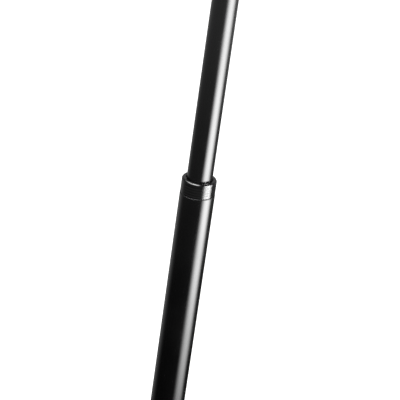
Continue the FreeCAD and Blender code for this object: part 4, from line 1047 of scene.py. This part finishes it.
def make_floor():
    """A pale floor. The camera sees it white with soft shadows, and the gloss sees it darker."""
    bm = bmesh.new()
    bmesh.ops.create_circle(bm, cap_ends=True, radius=FLOOR_SIZE, segments=96)
    mesh = bpy.data.meshes.new("floor")
    bm.to_mesh(mesh)
    bm.free()
    floor = linked("floor", mesh)
    floor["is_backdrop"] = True
    material = bpy.data.materials.new("floor_pale")
    material.use_nodes = True
    material.cycles.emission_sampling = "NONE"
    tree = material.node_tree
    nodes, links = tree.nodes, tree.links
    nodes.remove(nodes["Principled BSDF"])
    pale = nodes.new("ShaderNodeBsdfDiffuse")
    pale.inputs["Color"].default_value = (0.5, 0.5, 0.5, 1)
    glow = nodes.new("ShaderNodeEmission")
    lit = nodes.new("ShaderNodeAddShader")
    links.new(pale.outputs["BSDF"], lit.inputs[0])
    links.new(glow.outputs["Emission"], lit.inputs[1])
    place = nodes.new("ShaderNodeNewGeometry")
    from_shaft = distance_from(tree, place.outputs["Position"], SHAFT)
    links.new(ramp(tree, from_shaft, 0.5, 3.4, FLOOR_GLOW, FLOOR_GLOW_FAR), glow.inputs["Strength"])

    # what the gloss reflects: dark round the stand, paler further out, dark again far off, and a pool behind
    from_pool = distance_from(tree, place.outputs["Position"], SHAFT + POOL_PLACE)
    near = ramp(tree, from_shaft, 1.0, 3.6, 0.022, 0.66)
    far = ramp(tree, from_shaft, 3.6, 6.0, 1.0, 0.1)
    pool = ramp(tree, from_pool, 0.15, POOL_RADIUS, POOL_GLOW, 0.0)
    dim = nodes.new("ShaderNodeEmission")
    links.new(combined(tree, "ADD", combined(tree, "MULTIPLY", near, far), pool), dim.inputs["Strength"])
    camera_sees(tree, lit.outputs["Shader"], dim.outputs["Emission"], "Material Output")
    mesh.materials.append(material)


WORLD_SEEN = 1.05
WORLD_FRONT, WORLD_BACK = 0.10, 0.45  # what lights the stand from the camera's side and from behind


def make_world():
    """White behind the stand, and dim to everything else."""
    world = bpy.data.worlds.new("studio")
    bpy.context.scene.world = world
    world.use_nodes = True
    nodes, links = world.node_tree.nodes, world.node_tree.links
    white = nodes["Background"]
    white.inputs["Strength"].default_value = WORLD_SEEN
    dim = nodes.new("ShaderNodeBackground")
    for sky in (white, dim):
        sky.inputs["Color"].default_value = (1, 1, 1, 1)
    place = nodes.new("ShaderNodeTexCoord")
    split = nodes.new("ShaderNodeSeparateXYZ")
    links.new(place.outputs["Generated"], split.inputs["Vector"])
    around = ramp(world.node_tree, split.outputs["Y"], -0.2, 1.0, WORLD_FRONT, WORLD_BACK)
    links.new(around, dim.inputs["Strength"])
    camera_sees(world.node_tree, white.outputs["Background"], dim.outputs["Background"], "World Output")


CAMERA_RISE = math.radians(24.0)
CAMERA_AWAY = 1.30
CAMERA_LEAN = math.radians(8.26)
CAMERA_LENS = 160.1
LOOK_BELOW_SEAM = 5.3 * MM
LOOK_ASIDE = 2.59 * MM


def make_camera():
    """Looks down on the collar from the front, leaning so that the shaft runs up to the right."""
    data = bpy.data.cameras.new("camera")
    data.lens = CAMERA_LENS
    data.sensor_width = 36
    data.dof.use_dof = False
    data.clip_start = 0.05
    data.clip_end = 200
    camera = linked("camera", data)
    target = SHAFT + Vector((LOOK_ASIDE, 0, SEAM_Z - LOOK_BELOW_SEAM))
    back = Vector((0, -math.cos(CAMERA_RISE), math.sin(CAMERA_RISE)))
    aim = (-back).to_track_quat("-Z", "Y")
    camera.location = target + back * CAMERA_AWAY
    camera.rotation_mode = "QUATERNION"
    camera.rotation_quaternion = aim @ Matrix.Rotation(CAMERA_LEAN, 4, "Z").to_quaternion()
    bpy.context.scene.camera = camera


def toward(azimuth, elevation=0.0):
    """A direction from the stand: azimuth 0 is towards the camera, and 90 to the right of the picture."""
    a, e = math.radians(azimuth), math.radians(elevation)
    return Vector((math.sin(a) * math.cos(e), -math.cos(a) * math.cos(e), math.sin(e)))


def area_light(name, where, aim, width, height, power):
    data = bpy.data.lights.new(name, "AREA")
    data.shape = "RECTANGLE"
    data.size = width
    data.size_y = height
    data.energy = power
    lamp = linked(name, data)
    lamp.visible_camera = False
    lamp.location = where
    lamp.rotation_mode = "QUATERNION"
    lamp.rotation_quaternion = (aim - where).to_track_quat("-Z", "Y")
    return lamp


SOFTBOX_AWAY = 0.80
SOFTBOX_LOW = 0.02
SOFTBOX_TOP = 1.15
SOFTBOX_STRENGTH = 19.5
SOFTBOX_FOOT = (0.31, 0.27)  # the share of its height over which it fades to its foot, and what is left there
BASE_BOX_FOOT = (0.80, 0.0)  # the base's fades out, or a level leg seen end on would vanish in its reflection
SOFTBOX_STEPS = 24


def glowing_panel(name, columns):
    """A panel that only gives light, from columns of (lower, upper) points.
    On its map, u runs along the columns and v up. Its strength is left to be set."""
    points = [p for column in columns for p in column]
    last = len(columns) - 1
    faces = [(2 * i, 2 * i + 2, 2 * i + 3, 2 * i + 1) for i in range(last)]
    mesh = bpy.data.meshes.new(name)
    mesh.from_pydata(points, [], faces)
    layer = mesh.uv_layers.new(name="panel")
    for face in mesh.polygons:
        for loop in face.loop_indices:
            vertex = mesh.loops[loop].vertex_index
            layer.data[loop].uv = (vertex // 2 / last, vertex % 2)
    panel = linked(name, mesh)
    panel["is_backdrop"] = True
    panel.visible_camera = False
    panel.visible_shadow = False
    material = bpy.data.materials.new(f"{name}_cloth")
    material.use_nodes = True
    tree = material.node_tree
    tree.nodes.remove(tree.nodes["Principled BSDF"])
    glow = tree.nodes.new("ShaderNodeEmission")
    clear = tree.nodes.new("ShaderNodeBsdfTransparent")
    both = tree.nodes.new("ShaderNodeAddShader")
    tree.links.new(glow.outputs["Emission"], both.inputs[0])
    tree.links.new(clear.outputs["BSDF"], both.inputs[1])
    tree.links.new(both.outputs["Shader"], tree.nodes["Material Output"].inputs["Surface"])
    mesh.materials.append(material)
    return panel, tree, glow


def panel_place(tree, axis):
    """How far along (X) or up (Y) a panel a point is, from 0 to 1."""
    place = tree.nodes.new("ShaderNodeTexCoord")
    split = tree.nodes.new("ShaderNodeSeparateXYZ")
    tree.links.new(place.outputs["UV"], split.inputs["Vector"])
    return split.outputs[axis]


def make_softbox(name, away, strength, azimuths, foot):
    """A tall softbox curved round the stand: dark, full, full and dark again at the four azimuths.
    Its reflection is the bright band on the tubes."""
    start, full, fading, end = azimuths
    fade_share, left = foot
    columns = []
    for step in range(SOFTBOX_STEPS + 1):
        below = SHAFT + toward(start + (end - start) * step / SOFTBOX_STEPS) * away
        columns.append((below + Vector((0, 0, SOFTBOX_LOW)), below + Vector((0, 0, SOFTBOX_TOP))))
    panel, tree, glow = glowing_panel(name, columns)
    across, height = panel_place(tree, "X"), panel_place(tree, "Y")
    span = end - start
    rise = ramp(tree, across, 0, (full - start) / span, 0, 1)
    fall = ramp(tree, across, (fading - start) / span, 1, 1, 0)
    fade = ramp(tree, height, 0, fade_share, left * strength, strength)
    sides = combined(tree, "MULTIPLY", rise, fall)
    tree.links.new(combined(tree, "MULTIPLY", sides, fade), glow.inputs["Strength"])
    return panel


RIM_LIGHT_STRENGTH = 17.0
RIM_LIGHT_AWAY = 1.8
RIM_LIGHT_LOW, RIM_LIGHT_HIGH = 30, 58  # elevations of its edges
RIM_LIGHT_AZIMUTHS = (-125, -42, -12, 18)  # dark, full, full and dark again


def make_rim_light():
    """A narrow band high on the left, which picks out upward edges such as the collar's rim."""
    start, full, fading, end = RIM_LIGHT_AZIMUTHS
    middle = SHAFT + Vector((0, 0, SEAM_Z))
    columns = []
    for step in range(SOFTBOX_STEPS + 1):
        azimuth = start + (end - start) * step / SOFTBOX_STEPS
        heights = (RIM_LIGHT_LOW, RIM_LIGHT_HIGH)
        columns.append([middle + toward(azimuth, up) * RIM_LIGHT_AWAY for up in heights])
    panel, tree, glow = glowing_panel("rim_light", columns)
    across = panel_place(tree, "X")
    span = end - start
    rise = ramp(tree, across, 0, (full - start) / span, 0, RIM_LIGHT_STRENGTH)
    fall = ramp(tree, across, (fading - start) / span, 1, 1, 0)
    tree.links.new(combined(tree, "MULTIPLY", rise, fall), glow.inputs["Strength"])
    return panel


def light_only(light, pieces):
    """Lets a light reach these pieces and nothing else."""
    receivers = bpy.data.collections.new(f"{light.name}_receivers")
    for piece in pieces:
        receivers.objects.link(piece)
    light.light_linking.receiver_collection = receivers


def make_lights():
    """A softbox for each group of pieces, the band for the rims, and the lamps."""
    stand_middle = SHAFT + Vector((0, 0, 0.9))
    area_light("top", SHAFT + Vector((0.3, 0.4, 3.2)), stand_middle, 2.4, 2.4, 60)
    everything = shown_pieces()
    desk = [p for p in everything if body_of(p)[0] == "desk"]
    upper = [p for p in everything if body_of(p)[0] in ("slider", "upper_shaft")]
    collar = [p for p in everything if p.name == "collar_ring"]
    base = [p for p in everything if p.name.startswith(("hub_", "leg_", "foot_"))]
    lower = [p for p in everything if p not in desk + upper + collar + base]
    boxes = [
        ("softbox_desk", desk, 0.22, (16, 55, 64, 113), SOFTBOX_FOOT),
        ("softbox_upper", upper, 1.0, (16, 55, 64, 113), SOFTBOX_FOOT),
        ("softbox_lower", lower, 1.04, (31, 65.5, 73, 114), SOFTBOX_FOOT),
        ("softbox_collar", collar, 1.05, (29, 61, 74, 105), SOFTBOX_FOOT),
        ("softbox_base", base, 0.35, (31, 65.5, 73, 114), BASE_BOX_FOOT),
    ]
    for number, (name, pieces, share, azimuths, foot) in enumerate(boxes):
        away = SOFTBOX_AWAY + number * 10 * MM
        light_only(make_softbox(name, away, SOFTBOX_STRENGTH * share, azimuths, foot), pieces)
    light_only(make_rim_light(), upper + collar + lower + base)
    floor_lamp = area_light("floor_lamp", SHAFT + Vector((0.4, 0.6, 3.0)), SHAFT, 1.0, 1.0, 110)
    light_only(floor_lamp, [bpy.data.objects["floor"]])
    fill = area_light("desk_fill", SHAFT + Vector((1.1, 1.5, 1.9)), PIVOT, 0.9, 0.9, 14)
    light_only(fill, desk)


# -------------------- run

bpy.context.scene.view_settings.view_transform = "Standard"
finish_frame()
make_lower_tube()
make_upper_tube()
make_collar()
make_seam_ring()
make_hub()
for side, angle in LEG_ANGLES.items():
    make_leg(side, angle)
    make_foot(side, angle)
make_desk()
make_rivets()
make_spreader_plate()
make_clevis()
make_bracket_welds()
make_neck_pin()
make_neck()
soften_frame()
make_floor()
make_world()
make_camera()
make_lights()
